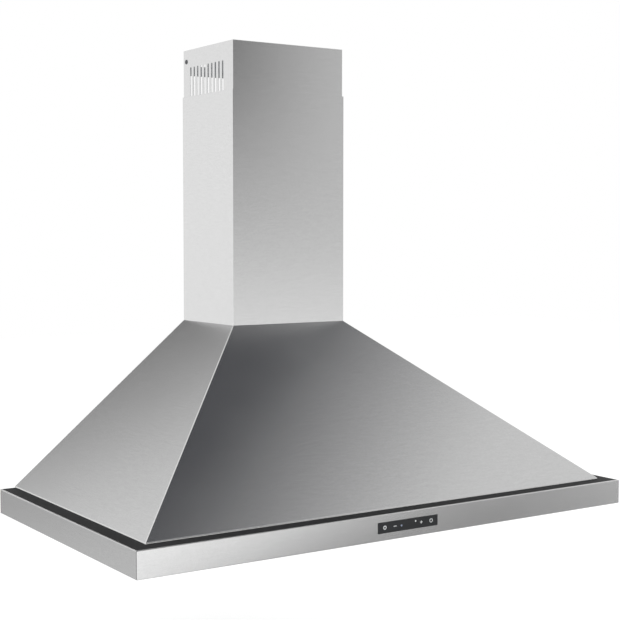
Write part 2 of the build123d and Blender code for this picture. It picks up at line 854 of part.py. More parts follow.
# ---------------------------------------------------------------- blower
def scroll_outline(offset):
    """Open outline of the scroll as (y, z) from the wheel's axis, moved outward by an offset."""
    r1 = tongue_radius + offset
    r2 = r1 + scroll_step
    r3 = r2 + scroll_step
    top = canopy_top - sheet - blower_z - sheet
    tongue_z = -half_step + sqrt(r1 ** 2 - (outlet_in - offset + half_step) ** 2)
    start = (outlet_in - offset, tongue_z)
    turn = 0.5 ** 0.5
    front = (-half_step - r1, -half_step)
    bottom = (half_step, -half_step - r2)
    rear = (half_step + r3, half_step)
    crest_angle = radians(tongue_crest)
    crest = (-half_step + r1 * cos(crest_angle), -half_step + r1 * sin(crest_angle))
    lines = [
        Line((outlet_in - outlet_flare - offset, top), (outlet_in - offset, flare_start)),
        Line((outlet_in - offset, flare_start), start),
        ThreePointArc(start, crest, front),
        ThreePointArc(front, (half_step - r2 * turn, -half_step - r2 * turn), bottom),
        ThreePointArc(bottom, (half_step + r3 * turn, half_step - r3 * turn), rear),
        Line(rear, (rear[0], flare_start)),
        Line((rear[0], flare_start), (rear[0] + outlet_flare, top)),
    ]
    return lines


def scroll_face(offset):
    lines = scroll_outline(offset)
    lines.append(Line(lines[-1] @ 1, lines[0] @ 0))
    return Pos(0, -blower_y, blower_z) * (Plane.YZ * make_face(lines))


def make_scroll():
    half = scroll_width / 2
    outer = Pos(-half, 0, 0) * extrude(scroll_face(sheet), scroll_width)
    inner = Pos(-half - over, 0, 0) * extrude(scroll_face(0), scroll_width + 2 * over)
    return outer - inner


def make_blower_side(side):
    half = scroll_width / 2
    x0 = half if side > 0 else -half - sheet
    plate = Pos(x0, 0, 0) * extrude(scroll_face(sheet), sheet)
    plate = plate - rod_x(x0 - over, x0 + sheet + over, -blower_y, blower_z, inlet_bore / 2)
    if side < 0:
        for y, z in motor_screw_places():
            plate = plate - rod_x(x0 - over, x0 + sheet + over, y, z, small_screw / 2)
    return plate


def outlet_size():
    """Outer half width of the outlet and its front and rear faces at the top."""
    rear = half_step + tongue_radius + 2 * scroll_step + outlet_flare + sheet
    front = outlet_in - outlet_flare - sheet
    return scroll_width / 2 + sheet, -blower_y + front, -blower_y + rear


def outlet_screw_places():
    half, front, rear = outlet_size()
    side = half + outlet_screw_in
    return [(x, y) for x in (-side, side) for y in (front + outlet_screw_end, rear - outlet_screw_end)]


def make_outlet_flange():
    half, front, rear = outlet_size()
    top = canopy_top - sheet
    wide = half + outlet_flange
    plate = block(-wide, wide, front, rear, top - sheet, top)
    plate = plate - rod_z(0, -duct_y, top - through, top + through, collar_bore)
    for side in (-1, 1):
        x0 = half if side > 0 else -half - sheet
        plate = plate + block(
            x0, x0 + sheet, front + outlet_tab_margin, rear - outlet_tab_margin,
            top - outlet_tab_height, top - sheet,
        )
    for x, y in outlet_screw_places():
        plate = plate - rod_z(x, y, top - through, top + through, small_screw / 2)
    return plate


def make_impeller():
    """Middle disc and hub of the double-inlet wheel."""
    disc = rod_x(-wheel_disc / 2, wheel_disc / 2, 0, 0, wheel_radius)
    hub = rod_x(-hub_length / 2, hub_length / 2, 0, 0, hub_diameter / 2)
    wheel = disc + hub - rod_x(-hub_length, hub_length, 0, 0, shaft_diameter / 2)
    return Pos(0, -blower_y, blower_z) * wheel


def make_impeller_rings():
    half = wheel_length / 2
    rings = []
    for x in (-half, half - wheel_ring):
        ring = rod_x(x, x + wheel_ring, 0, 0, wheel_radius)
        ring = ring - rod_x(x - over, x + wheel_ring + over, 0, 0, wheel_radius - blade_depth)
        rings.append(Pos(0, -blower_y, blower_z) * ring)
    return group(rings)


def make_impeller_blades():
    """Straight blades on both sides of the disc, each from the disc to an end ring."""
    run = wheel_length / 2 - wheel_ring - wheel_disc / 2
    chord = (blade_depth - blade_thick) / cos(radians(blade_lean))
    middle_radius = wheel_radius - blade_depth / 2
    blades = []
    for side in (-1, 1):
        middle_x = side * (wheel_disc / 2 + run / 2)
        for i in range(blade_count):
            blade = Pos(middle_x, middle_radius, 0) * Rot(blade_lean, 0, 0) * Box(run, chord, blade_thick)
            blades.append(Pos(0, -blower_y, blower_z) * Rot(360 * i / blade_count, 0, 0) * blade)
    return group(blades)


def make_shaft():
    end = motor_outer + motor_end + over
    shaft = rod_x(end, hub_length / 2 + shaft_stub, -blower_y, blower_z, shaft_diameter / 2)
    return chamfer(shaft.edges(), shaft_edge)


def make_motor():
    centre = (-blower_y, blower_z)
    body = rod_x(motor_outer, motor_inner, *centre, motor_diameter / 2)
    body = chamfer(body.edges().filter_by(GeomType.CIRCLE), motor_edge)
    nose = rod_x(motor_inner, motor_inner + motor_boss_length, *centre, motor_boss / 2)
    body = body + nose
    bore = shaft_diameter / 2 + shaft_clearance
    return body - rod_x(motor_outer + motor_end, motor_inner + motor_boss_length + over, *centre, bore)


def motor_screw_places():
    places = []
    for angle in motor_arm_angles:
        y = motor_screw_reach * cos(radians(angle))
        z = motor_screw_reach * sin(radians(angle))
        places.append((-blower_y + y, blower_z + z))
    return places


def make_motor_bracket():
    x1 = -scroll_width / 2 - sheet
    x0 = x1 - bracket_thick
    ring_outer = motor_diameter / 2 + motor_ring
    ring = rod_x(x0, x1, 0, 0, ring_outer) - rod_x(x0 - over, x1 + over, 0, 0, motor_diameter / 2)
    reach = motor_screw_reach + motor_arm_end
    root = motor_diameter / 2 + motor_arm_sink
    bracket = ring
    for angle in motor_arm_angles:
        arm = Pos((x0 + x1) / 2, (reach + root) / 2, 0) * Box(bracket_thick, reach - root, motor_arm)
        hole = rod_x(x0 - over, x1 + over, motor_screw_reach, 0, small_screw / 2)
        bracket = bracket + Rot(angle, 0, 0) * (arm - hole)
    return Pos(0, -blower_y, blower_z) * bracket


def make_capacitor():
    x1 = -scroll_width / 2 - sheet
    x = x1 - capacitor_diameter / 2 - sheet
    y = -blower_y + capacitor_rear
    z = blower_z + capacitor_rise
    can = rod_z(x, y, z, z + capacitor_length, capacitor_diameter / 2)
    can = chamfer(can.edges().group_by(Axis.Z)[-1], capacitor_edge)
    low = z + strap_rise
    strap = block(x - strap_reach, x1, y - strap_width / 2, y + strap_width / 2, low, low + strap_height)
    return can + strap


# ---------------------------------------------------------------- outlet collar and damper
def collar_screw_places():
    reach = collar_flange / 2 - collar_screw_in
    return [
        (reach * cos(radians(angle)), -duct_y + reach * sin(radians(angle))) for angle in (45, 135, 225, 315)
    ]


def make_collar():
    foot = rod_z(0, -duct_y, canopy_top, canopy_top + collar_flange_thick, collar_flange / 2)
    tube = rod_z(0, -duct_y, canopy_top, canopy_top + collar_height, collar_radius)
    top = canopy_top + collar_height
    collar = foot + tube - rod_z(0, -duct_y, canopy_top - over, top + over, collar_bore)
    stop_top = damper_z - flap_thick / 2 - damper_stop_gap
    stop_low = stop_top - damper_stop_thick
    stop = rod_z(0, -duct_y, stop_low, stop_top, collar_bore + collar_wall / 4)
    stop = stop - rod_z(0, -duct_y, stop_low - over, stop_top + over, collar_bore - damper_stop)
    collar = collar + stop
    for x, y in collar_screw_places():
        collar = collar - rod_z(x, y, canopy_top - over, canopy_top + through, small_screw / 2)
    for y in rod_places():
        collar = collar - rod_x(-collar_radius - over, collar_radius + over, y, damper_z, damper_rod / 2)
    return collar


def rod_places():
    return [-duct_y + side * damper_rod_spacing / 2 for side in (-1, 1)]


def make_damper_rods():
    half = sqrt(collar_radius ** 2 - (damper_rod_spacing / 2 + damper_rod / 2) ** 2)
    return group([rod_x(-half, half, y, damper_z, damper_rod / 2) for y in rod_places()])


def make_flap(side):
    """Half-round damper flap. Side -1 is the front flap and side 1 the rear one."""
    rod_y_place = -duct_y + side * damper_rod_spacing / 2
    eye_inner = damper_rod / 2 + eye_clearance
    eye_outer = eye_inner + eye_wall
    disc = rod_z(0, -duct_y, damper_z - flap_thick / 2, damper_z + flap_thick / 2, collar_bore - flap_gap)
    edge = rod_y_place
    reach = side * collar_diameter
    low = damper_z - through
    high = damper_z + through
    half_plane = block(
        -collar_diameter, collar_diameter, min(edge, edge + reach), max(edge, edge + reach), low, high
    )
    flap = disc & half_plane
    clear = block(-collar_diameter, collar_diameter, edge - eye_outer, edge + eye_outer, low, high)
    flap = flap - clear
    for x in (-eye_spread, 0, eye_spread):
        eye = rod_x(x - eye_length / 2, x + eye_length / 2, edge, damper_z, eye_outer)
        lug = block(
            x - eye_length / 2, x + eye_length / 2, min(edge, edge + side * eye_lug),
            max(edge, edge + side * eye_lug), damper_z - flap_thick / 2, damper_z + flap_thick / 2,
        )
        flap = flap + eye + lug
    return flap - rod_x(-collar_diameter, collar_diameter, edge, damper_z, eye_inner)


# ---------------------------------------------------------------- electrical boxes
def box_corners(corner, size):
    x0, z0 = corner
    width, depth, height = size
    return x0, x0 + width, -sheet - depth, -sheet, z0, z0 + height


def box_tray(corner, size):
    """Sheet tray against the back panel, open at the front."""
    x0, x1, y0, y1, z0, z1 = box_corners(corner, size)
    tray = block(x0, x1, y0, y1, z0, z1)
    hollow = block(
        x0 + box_sheet, x1 - box_sheet, y0 - over, y1 - box_sheet, z0 + box_sheet, z1 - box_sheet
    )
    return tray - hollow


def box_lid(corner, size):
    x0, x1, y0, y1, z0, z1 = box_corners(corner, size)
    lid = block(x0, x1, y0 - box_sheet, y0, z0, z1)
    for x, z in lid_screw_places(corner, size):
        lid = lid - rod_y(x, y0 - through, y0 + over, z, small_screw / 2)
    return lid


def lid_screw_places(corner, size):
    x0, x1, y0, y1, z0, z1 = box_corners(corner, size)
    return [(x0 + lid_screw_in, z0 + lid_screw_in), (x1 - lid_screw_in, z1 - lid_screw_in)]


def lid_ears(corner, size):
    """Two blocks inside the tray's corners that take the lid's screws."""
    x0, x1, y0, y1, z0, z1 = box_corners(corner, size)
    half = lid_ear / 2
    ears = []
    for x, z in lid_screw_places(corner, size):
        ear = block(x - half, x + half, y0, y0 + lid_ear_depth, z - half, z + half)
        ears.append(ear - rod_y(x, y0 - over, y0 + lid_ear_depth + over, z, small_screw / 2))
    return ears


def make_power_box():
    tray = box_tray(power_box_corner, power_box_size)
    for ear in lid_ears(power_box_corner, power_box_size):
        tray = tray + ear
    x0, x1, y0, y1, z0, z1 = box_corners(power_box_corner, power_box_size)
    rear = y1 - box_sheet
    for x in (x0 + stand_places[0], x1 - stand_places[0]):
        for z in (z0 + stand_places[1], z1 - stand_places[1]):
            tray = tray + rod_y(x, rear - power_board_stand, rear, z, stand_diameter / 2)
    return tray


def make_power_board():
    x0, x1, y0, y1, z0, z1 = box_corners(power_box_corner, power_box_size)
    inset = power_board_inset
    rear = y1 - box_sheet - power_board_stand
    board = block(x0 + inset, x1 - inset, rear - board_thick, rear, z0 + inset, z1 - inset)
    face = rear - board_thick
    board = board + board_part(x0 + transformer_place[0], face, z0 + transformer_place[1], transformer_size)
    board = board + board_part(x0 + relay_place[0], face, z0 + relay_place[1], relay_size)
    board = board + board_part(x0 + socket_place[0], face, z1 - socket_place[1], socket_size)
    coil_y = face - coil_size[1]
    return board + rod_y(x1 - coil_place[0], coil_y, face, z1 - coil_place[1], coil_size[0] / 2)


def board_part(x, face, z, size):
    """Block that stands on the front of the power board."""
    width, depth, height = size
    return block(x, x + width, face - depth, face, z, z + height)


def make_junction_box():
    tray = box_tray(junction_box_corner, junction_box_size)
    for ear in lid_ears(junction_box_corner, junction_box_size):
        tray = tray + ear
    return tray - rod_y(knockout_x, -through, 0, knockout_z, knockout_bore / 2)


def make_terminal_block():
    x0, x1, y0, y1, z0, z1 = box_corners(junction_box_corner, junction_box_size)
    left = x0 + terminal_place[0]
    front = y0 + terminal_place[1]
    width, depth, height = terminal_size
    floor = z0 + box_sheet
    top = floor + height
    body = block(left, left + width, front, front + depth, floor, top)
    for i in range(3):
        x = left + terminal_pitch * (i + 0.5)
        body = body - rod_z(x, front + depth / 2, top - terminal_hole_depth, top + over, terminal_hole / 2)
    return body


def make_inner_screws():
    """Screws of the blower, the collar and the two electrical boxes."""
    screws = []
    top = canopy_top - 2 * sheet
    for x, y in outlet_screw_places():
        screws.append(small_screw_up(x, y, top, 2 * sheet))
    for x, y in collar_screw_places():
        screws.append(small_screw_down(x, y, canopy_top + collar_flange_thick, collar_flange_thick + sheet))
    for corner, size in ((power_box_corner, power_box_size), (junction_box_corner, junction_box_size)):
        front = -sheet - size[1] - box_sheet
        for x, z in lid_screw_places(corner, size):
            screws.append(small_screw_back(x, z, front, lid_screw_length))
    seat = -scroll_width / 2 - sheet - bracket_thick
    for y, z in motor_screw_places():
        screw = Rot(0, -90, 0) * small_screw_down(0, 0, 0, bracket_thick + sheet)
        screws.append(Pos(seat, y, z) * screw)
    return group(screws)


# ---------------------------------------------------------------- internal leads
def lead(points, radii, diameter):
    """Round lead along straight runs joined by tangent arcs, one radius for each corner."""
    path = FilletPolyline(*points, radius=radii)
    tube = sweep(Plane(path @ 0, z_dir=path % 0) * Circle(diameter / 2), path=path)
    share = tube.volume / (path.length * pi * diameter ** 2 / 4)
    print("lead", round(path.length), "mm, radii", radii, "volume share", round(share, 4))
    return tube


def make_supply_lead():
    """From the junction box to the power box, behind the blower."""
    points = [
        (junction_box_wall, supply_end_y, supply_end_z),
        (junction_box_wall - supply_run, supply_end_y, supply_end_z),
        (junction_box_wall - supply_fall, supply_y, supply_z),
        (power_box_wall + supply_fall, supply_y, supply_z),
        (power_box_wall + supply_run, supply_end_y, supply_end_z),
        (power_box_wall, supply_end_y, supply_end_z),
    ]
    return lead(points, supply_bends, lead_diameter)


def make_motor_lead():
    """From the top of the power box to the end of the motor."""
    y = -blower_y + motor_lead_end[0]
    z = blower_z + motor_lead_end[1]
    top = power_box_floor + power_box_size[2]
    x = power_box_wall - motor_lead_in
    points = [
        (x, exit_y, top),
        (x, exit_y, top + motor_lead_rise),
        (x + motor_lead_turn[0], motor_lead_turn[1], top + motor_lead_turn[2]),
        (motor_outer - motor_lead_crest[0], motor_lead_crest[1], top + motor_lead_crest[2]),
        (motor_outer - motor_lead_run, y, z),
        (motor_outer, y, z),
    ]
    return lead(points, motor_lead_bends, lead_diameter)


def make_control_lead():
    """From the power box, round the filter well to the touch control."""
    x = power_box_corner[0] + control_lead_in
    housing_rear = -housing_front + housing_depth
    points = [
        (x, exit_y, power_box_floor),
        (x, exit_y, power_box_floor - exit_run),
        (x - control_lead_fall[0], control_lead_fall[1], strip_z + control_lead_fall[2]),
        (x - control_lead_foot, strip_rear_y, strip_z),
        (-strip_x, strip_rear_y, strip_z),
        (-strip_x, strip_front_y, strip_z),
        (control_lead_rise_x, strip_front_y, strip_z),
        (control_lead_end_x, strip_front_y + control_lead_end_run, glass_z),
        (control_lead_end_x, housing_rear, glass_z),
    ]
    bends = control_lead_bends + (strip_corner, strip_corner) + control_lead_last_bends
    return lead(points, bends, lead_diameter)


def make_lamp_leads():
    """From the power box to both lamps."""
    inner_x = strip_x - lead_spacing
    rear_y = strip_rear_y - lead_spacing
    bends = lamp_lead_bends + (lamp_corner, lamp_corner) + lamp_lead_last_bends
    left_exit = power_box_corner[0] + lamp_lead_ins[0]
    right_exit = power_box_wall - lamp_lead_ins[1]
    leads = []
    for side, x in ((-1, left_exit), (1, right_exit)):
        points = [
            (x, exit_y, power_box_floor),
            (x, exit_y, power_box_floor - exit_run),
            (x + side * lamp_lead_fall[0], lamp_lead_fall[1], lamp_strip_z + lamp_lead_fall[2]),
            (x + side * lamp_lead_foot, rear_y, lamp_strip_z),
            (side * inner_x, rear_y, lamp_strip_z),
            (side * inner_x, -light_y, lamp_strip_z),
            (side * (lamp_x + lamp_lead_rise[0]), -light_y, lamp_strip_z),
            (side * (lamp_x + lamp_lead_rise[1]), -light_y, lamp_exit_z),
            (side * lamp_x, -light_y, lamp_exit_z),
        ]
        leads.append(lead(points, bends, lamp_lead_diameter))
    return group(leads)


def saddle(reach, run_radius, run_z, along, across):
    """Saddle over a lead that lies on the liner, along X or Y, centred on its place."""
    half = clip_width / 2
    high = strip_z + lead_radius + clip_wall
    body = block(-half, half, -reach, reach, liner_top, high)
    body = body - rod_x(-clip_width, clip_width, 0, run_z, run_radius)
    body = body - block(-clip_width, clip_width, -run_radius, run_radius, liner_top - over, run_z)
    turn = 0 if along == "x" else 90
    x, y = across
    return Pos(x, y, 0) * Rot(0, 0, turn) * body


def make_lead_clips():
    """Saddles that hold the leads down on the liner and on the back panel."""
    inner_x = strip_x - lead_spacing
    rear_y = strip_rear_y - lead_spacing
    lamp_reach = lamp_lead_radius + clip_wall
    lead_reach = lead_radius + clip_wall
    clips = []
    for share in side_clip_shares:
        y = -share * hood_depth
        clips.append(saddle(lead_reach, lead_radius, strip_z, "y", (-strip_x, y)))
        for side in (-1, 1):
            clips.append(
                saddle(lamp_reach, lamp_lead_radius, lamp_strip_z, "y", (side * inner_x, y - 2 * clip_width))
            )
    for x in (rear_clip_middle, half_width - rear_clip_side):
        clips.append(saddle(lamp_reach, lamp_lead_radius, lamp_strip_z, "x", (x, rear_y)))
    for inward in front_clip_sides:
        x = inward - half_width
        clips.append(saddle(lead_reach, lead_radius, strip_z, "x", (x, strip_front_y)))
    half = clip_width / 2
    for x in supply_clip_places:
        clip = block(
            x - half, x + half, supply_y - lead_reach, -sheet, supply_z - lead_reach, supply_z + lead_reach
        )
        clips.append(clip - rod_x(x - clip_width, x + clip_width, supply_y, supply_z, lead_radius))
    return group(clips)


# ---------------------------------------------------------------- chimney covers
def cover_channel(half, front, low, high):
    """Three-sided sheet channel, open to the wall and at both ends."""
    outer = block(-half, half, -front, 0, low, high)
    inner = half - cover_sheet
    return outer - block(-inner, inner, -front + cover_sheet, over, low - over, high + over)


def cover_screw_places():
    inward = top_x - cover_sheet - cover_return / 2
    places = (cover_screw_margin, top_y - cover_screw_margin)
    return [(side * inward, -y) for side in (-1, 1) for y in places]


def make_lower_cover():
    cover = cover_channel(top_x, top_y, canopy_top, lower_cover_top)
    inner_x = top_x - cover_sheet
    for side in (-1, 1):
        a, b = sorted((side * inner_x, side * (inner_x - cover_return)))
        cover = cover + block(a, b, -cover_sheet, 0, canopy_top, lower_cover_top - lower_return_stop)
        tab_front = -top_y + cover_tab_margin
        cover = cover + block(a, b, tab_front, -cover_tab_margin, canopy_top, canopy_top + cover_sheet)
    for x, y in cover_screw_places():
        cover = cover - rod_z(x, y, canopy_top - over, canopy_top + through, small_screw / 2)
    return cover


def make_cover_screws():
    seat = canopy_top + cover_sheet
    return group([small_screw_down(x, y, seat, cover_sheet + sheet) for x, y in cover_screw_places()])


def vent_slots():
    top = upper_cover_top - slot_top_drop
    half = slot_width / 2
    slots = []
    for i in range(slot_count):
        y = -(slot_first + slot_pitch * i)
        slot = block(-half_width, half_width, y - half, y + half, top - slot_length + half, top - half)
        ends = [rod_x(-half_width, half_width, y, z, half) for z in (top - slot_length + half, top - half)]
        slots.append(slot.fuse(*ends))
    return slots


def make_upper_cover():
    cover = block(-upper_x, upper_x, -upper_y, -upper_return_rear, upper_cover_foot, upper_cover_top)
    inner_x = upper_x - cover_sheet
    cover = cover - block(
        -inner_x, inner_x, -upper_y + cover_sheet, over, upper_cover_foot - over, upper_cover_top + over
    )
    return_top = upper_cover_top - bracket_drop - bracket_height - return_below_bracket
    for side in (-1, 1):
        a, b = sorted((side * inner_x, side * (inner_x - cover_return)))
        cover = cover + block(a, b, -upper_return_front, -upper_return_rear, upper_cover_foot, return_top)
    screw_z = upper_cover_top - bracket_screw_drop
    cover = cover - rod_x(-half_width, half_width, -bracket_screw_in, screw_z, small_screw / 2)
    cover = cover - vent_slots()
    return cover


def make_wall_bracket():
    half = upper_x - cover_sheet
    high = upper_cover_top - bracket_drop
    low = high - bracket_height
    bracket = block(-half, half, -bracket_wing, 0, low, high)
    inner = half - bracket_sheet
    bracket = bracket - block(-inner, inner, -bracket_wing - over, -bracket_sheet, low - over, high + over)
    screw_z = upper_cover_top - bracket_screw_drop
    bracket = bracket - rod_x(-half_width, half_width, -bracket_screw_in, screw_z, small_screw / 2)
    hole_z = upper_cover_top - bracket_hole_drop
    for side in (-1, 1):
        x = side * bracket_hole_pitch / 2
        bracket = bracket - oblong_y(x, hole_z, bracket_hole_length, bracket_hole_height)
    return bracket


def make_bracket_screws():
    screw_z = upper_cover_top - bracket_screw_drop
    screws = []
    for side in (-1, 1):
        head = rod_x(
            side * upper_x, side * (upper_x + bracket_head_height), -bracket_screw_in, screw_z,
            bracket_screw_head / 2,
        )
        tip = upper_x - bracket_screw_length
        shank = rod_x(side * tip, side * upper_x, -bracket_screw_in, screw_z, small_screw / 2)
        floor = upper_x + bracket_head_height / 3
        drive = rod_x(
            side * floor, side * (upper_x + over), -bracket_screw_in, screw_z, bracket_screw_drive / 2
        )
        screws.append(head + shank - drive)
    return group(screws)


# ---------------------------------------------------------------- the whole hood
def make_all():
    rim_side = drill_rivets(make_rim_side())
    canopy_side = make_canopy_side()
    nodes = {
        "rim_front_panel": drill_rivets(make_rim_front()),
        "rim_right_panel": rim_side,
        "rim_left_panel": mirrored(rim_side),
        "shadow_ledge": make_ledge(),
        "canopy_front_panel": make_canopy_front(),
        "canopy_right_panel": canopy_side,
        "canopy_left_panel": mirrored(canopy_side),
        "canopy_back_panel": make_back_panel(),
        "canopy_top_plate": make_top_plate(),
        "bottom_liner": make_liner(),
        "liner_rivets": make_rivets(),
        "control_glass": make_glass(),
        "control_housing": make_control_housing(),
        "control_board": make_control_board(),
        "blower_scroll": make_scroll(),
        "blower_side_left": make_blower_side(-1),
        "blower_side_right": make_blower_side(1),
        "blower_outlet_flange": make_outlet_flange(),
        "impeller": make_impeller(),
        "impeller_rings": make_impeller_rings(),
        "impeller_blades": make_impeller_blades(),
        "motor_shaft": make_shaft(),
        "motor_body": make_motor(),
        "motor_bracket": make_motor_bracket(),
        "motor_capacitor": make_capacitor(),
        "outlet_collar": make_collar(),
        "damper_rods": make_damper_rods(),
        "damper_flap_front": make_flap(-1),
        "damper_flap_rear": make_flap(1),
        "power_box_base": make_power_box(),
        "power_box_lid": box_lid(power_box_corner, power_box_size),
        "power_board": make_power_board(),
        "junction_box": make_junction_box(),
        "junction_box_cover": box_lid(junction_box_corner, junction_box_size),
        "terminal_block": make_terminal_block(),
        "inner_screws": make_inner_screws(),
        "supply_lead": make_supply_lead(),
        "motor_lead": make_motor_lead(),
        "control_lead": make_control_lead(),
        "lamp_leads": make_lamp_leads(),
        "lead_clips": make_lead_clips(),
        "lower_duct_cover": make_lower_cover(),
        "lower_cover_screws": make_cover_screws(),
        "upper_duct_cover": make_upper_cover(),
        "upper_wall_bracket": make_wall_bracket(),
        "bracket_screws": make_bracket_screws(),
    }
    for name, side in (("left", -1), ("right", 1)):
        nodes[f"light_bezel_{name}"] = make_bezel(side)
        nodes[f"light_lens_{name}"] = make_lens(side)
        nodes[f"light_body_{name}"] = make_lamp(side)
    filter_blank = make_filter_blank()
    latch_blank = make_latch_blank()
    for name, centre in zip(("left", "centre", "right"), filter_centres()):
        nodes[f"filter_{name}"] = Pos(centre, 0, 0) * filter_blank
        nodes[f"latch_{name}"] = Pos(centre, 0, 0) * latch_blank
    return nodes


os.makedirs("parts", exist_ok=True)
for node, shape in make_all().items():
    export_step(shape, f"parts/{node}.step")
    print(node)
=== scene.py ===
import bpy
import bmesh
import math
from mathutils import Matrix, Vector


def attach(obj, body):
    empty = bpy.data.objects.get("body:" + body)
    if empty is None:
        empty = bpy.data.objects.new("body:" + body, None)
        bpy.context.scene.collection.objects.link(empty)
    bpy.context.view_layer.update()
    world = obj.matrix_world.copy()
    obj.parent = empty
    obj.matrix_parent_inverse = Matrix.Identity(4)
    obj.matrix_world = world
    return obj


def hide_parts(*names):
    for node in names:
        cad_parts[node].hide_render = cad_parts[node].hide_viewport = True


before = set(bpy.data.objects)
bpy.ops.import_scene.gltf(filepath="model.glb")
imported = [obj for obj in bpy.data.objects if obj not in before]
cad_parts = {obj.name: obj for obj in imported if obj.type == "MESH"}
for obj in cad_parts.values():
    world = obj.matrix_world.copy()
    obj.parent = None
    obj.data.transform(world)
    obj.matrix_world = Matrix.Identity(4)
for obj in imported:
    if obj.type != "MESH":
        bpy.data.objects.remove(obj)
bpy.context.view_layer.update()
mm = 0.001
near = 0.1          # a point less than this many millimetres from a place is at it
mostly = 0.9        # a direction with more than this share along an axis runs along it
slanting = 0.3      # and with more than this share it slants that way
smoothAngle = 50    # degrees; sharper turns stay creased
print("frame loaded:", len(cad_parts), "nodes")

# camera: to the left of the front, level with the lower chimney cover

cameraSettings = {
    "lens": 75.951,
    "sensorWidth": 36,
    "nearest": 0.05,
    "farthest": 60,
    "place": (-1.19748, -2.03463, 0.45446),
    "turn": -33.620,
    "downward": 3.335,
}


def makeCamera(s):
    data = bpy.data.cameras.new("productCamera")
    data.lens = s["lens"]
    data.sensor_width = s["sensorWidth"]
    data.clip_start = s["nearest"]
    data.clip_end = s["farthest"]
    camera = bpy.data.objects.new("productCamera", data)
    camera.location = s["place"]
    camera.rotation_euler = (math.radians(90 - s["downward"]), 0, math.radians(s["turn"]))
    bpy.context.scene.collection.objects.link(camera)
    bpy.context.scene.camera = camera


makeCamera(cameraSettings)
bpy.context.scene.view_settings.view_transform = "Standard"
print("camera in place")

# tools for modelling; sizes are given in millimetres


def metres(point):
    return tuple(value * mm for value in point)


def isAt(value, place):
    return abs(value - place) < near


def runsAlong(share):
    return abs(share) > mostly


def isLevel(way):
    return abs(way.z) < 1 - mostly


def facesSideways(at, way):
    return runsAlong(way.x)


def deselectAll():
    if bpy.context.object and bpy.context.object.mode != "OBJECT":
        bpy.ops.object.mode_set(mode="OBJECT")
    bpy.ops.object.select_all(action="DESELECT")


def choose(piece):
    deselectAll()
    piece.select_set(True)
    bpy.context.view_layer.objects.active = piece


def nameNew(name):
    piece = bpy.context.object
    piece.name = name
    piece.data.name = name
    return piece


def addPlate(name, place, width, depth, turn=(0, 0, 0)):
    deselectAll()
    angles = [math.radians(angle) for angle in turn]
    bpy.ops.mesh.primitive_plane_add(size=mm, location=metres(place), rotation=angles)
    piece = nameNew(name)
    piece.scale = (width, depth, 1)
    bpy.ops.object.transform_apply(location=True, rotation=True, scale=True)
    return piece


def addBlock(name, place, size):
    deselectAll()
    bpy.ops.mesh.primitive_cube_add(size=mm, location=metres(place))
    piece = nameNew(name)
    piece.scale = size
    bpy.ops.object.transform_apply(location=True, rotation=True, scale=True)
    return piece


def edit(piece, kind="EDGE"):
    choose(piece)
    bpy.ops.object.mode_set(mode="EDIT")
    bpy.ops.mesh.select_mode(type=kind)
    bpy.ops.mesh.select_all(action="SELECT")


def pick(piece, kind, test):
    # test gets the middle of each part in millimetres and its direction,
    # which is an edge's run or a face's normal
    bpy.ops.mesh.select_mode(type=kind)
    bpy.ops.mesh.select_all(action="DESELECT")
    mesh = bmesh.from_edit_mesh(piece.data)
    found = 0
    for part in {"VERT": mesh.verts, "EDGE": mesh.edges, "FACE": mesh.faces}[kind]:
        if kind == "VERT":
            at, way = part.co / mm, Vector((0, 0, 0))
        elif kind == "EDGE":
            at = (part.verts[0].co + part.verts[1].co) / 2 / mm
            way = (part.verts[1].co - part.verts[0].co).normalized()
        else:
            at, way = part.calc_center_median() / mm, part.normal
        if test(at, way):
            part.select_set(True)
            found += 1
    bmesh.update_edit_mesh(piece.data)
    if not found:
        raise ValueError(piece.name + ": nothing was picked")


def pull(x, y, z):
    bpy.ops.mesh.extrude_region_move(TRANSFORM_OT_translate={"value": metres((x, y, z))})


def shift(x, y, z):
    bpy.ops.transform.translate(value=metres((x, y, z)))


def roundPicked(width, steps, affect="EDGES"):
    bpy.ops.mesh.bevel(offset=width * mm, segments=steps, profile=0.5, affect=affect)


def cutAt(piece, place, way, test=None):
    if test is None:
        bpy.ops.mesh.select_mode(type="FACE")
        bpy.ops.mesh.select_all(action="SELECT")
    else:
        pick(piece, "FACE", test)
    bpy.ops.mesh.bisect(plane_co=metres(place), plane_no=way)


def removePicked(piece, test):
    pick(piece, "FACE", test)
    bpy.ops.mesh.delete(type="FACE")


def faceOutward(piece, test):
    # an open sheet has no inside, so one known face says which way is out
    bpy.ops.mesh.select_mode(type="FACE")
    bpy.ops.mesh.select_all(action="SELECT")
    bpy.ops.mesh.remove_doubles(threshold=1e-6)
    bpy.ops.mesh.normals_make_consistent(inside=False)
    mesh = bmesh.from_edit_mesh(piece.data)
    mesh.faces.ensure_lookup_table()
    if not any(test(face.calc_center_median() / mm, face.normal) for face in mesh.faces):
        bpy.ops.mesh.flip_normals()


def applyModifier(piece, kind, **settings):
    choose(piece)
    modifier = piece.modifiers.new(kind.title(), kind)
    for key, value in settings.items():
        setattr(modifier, key, value)
    bpy.ops.object.modifier_apply(modifier=modifier.name)


def thicken(piece, sheet):
    applyModifier(piece, "SOLIDIFY", thickness=sheet * mm, offset=-1, use_even_offset=True)


def soften(piece, width, segments=2, angle=35):
    applyModifier(
        piece, "BEVEL", width=width * mm, segments=segments, limit_method="ANGLE",
        angle_limit=math.radians(angle), harden_normals=False,
    )


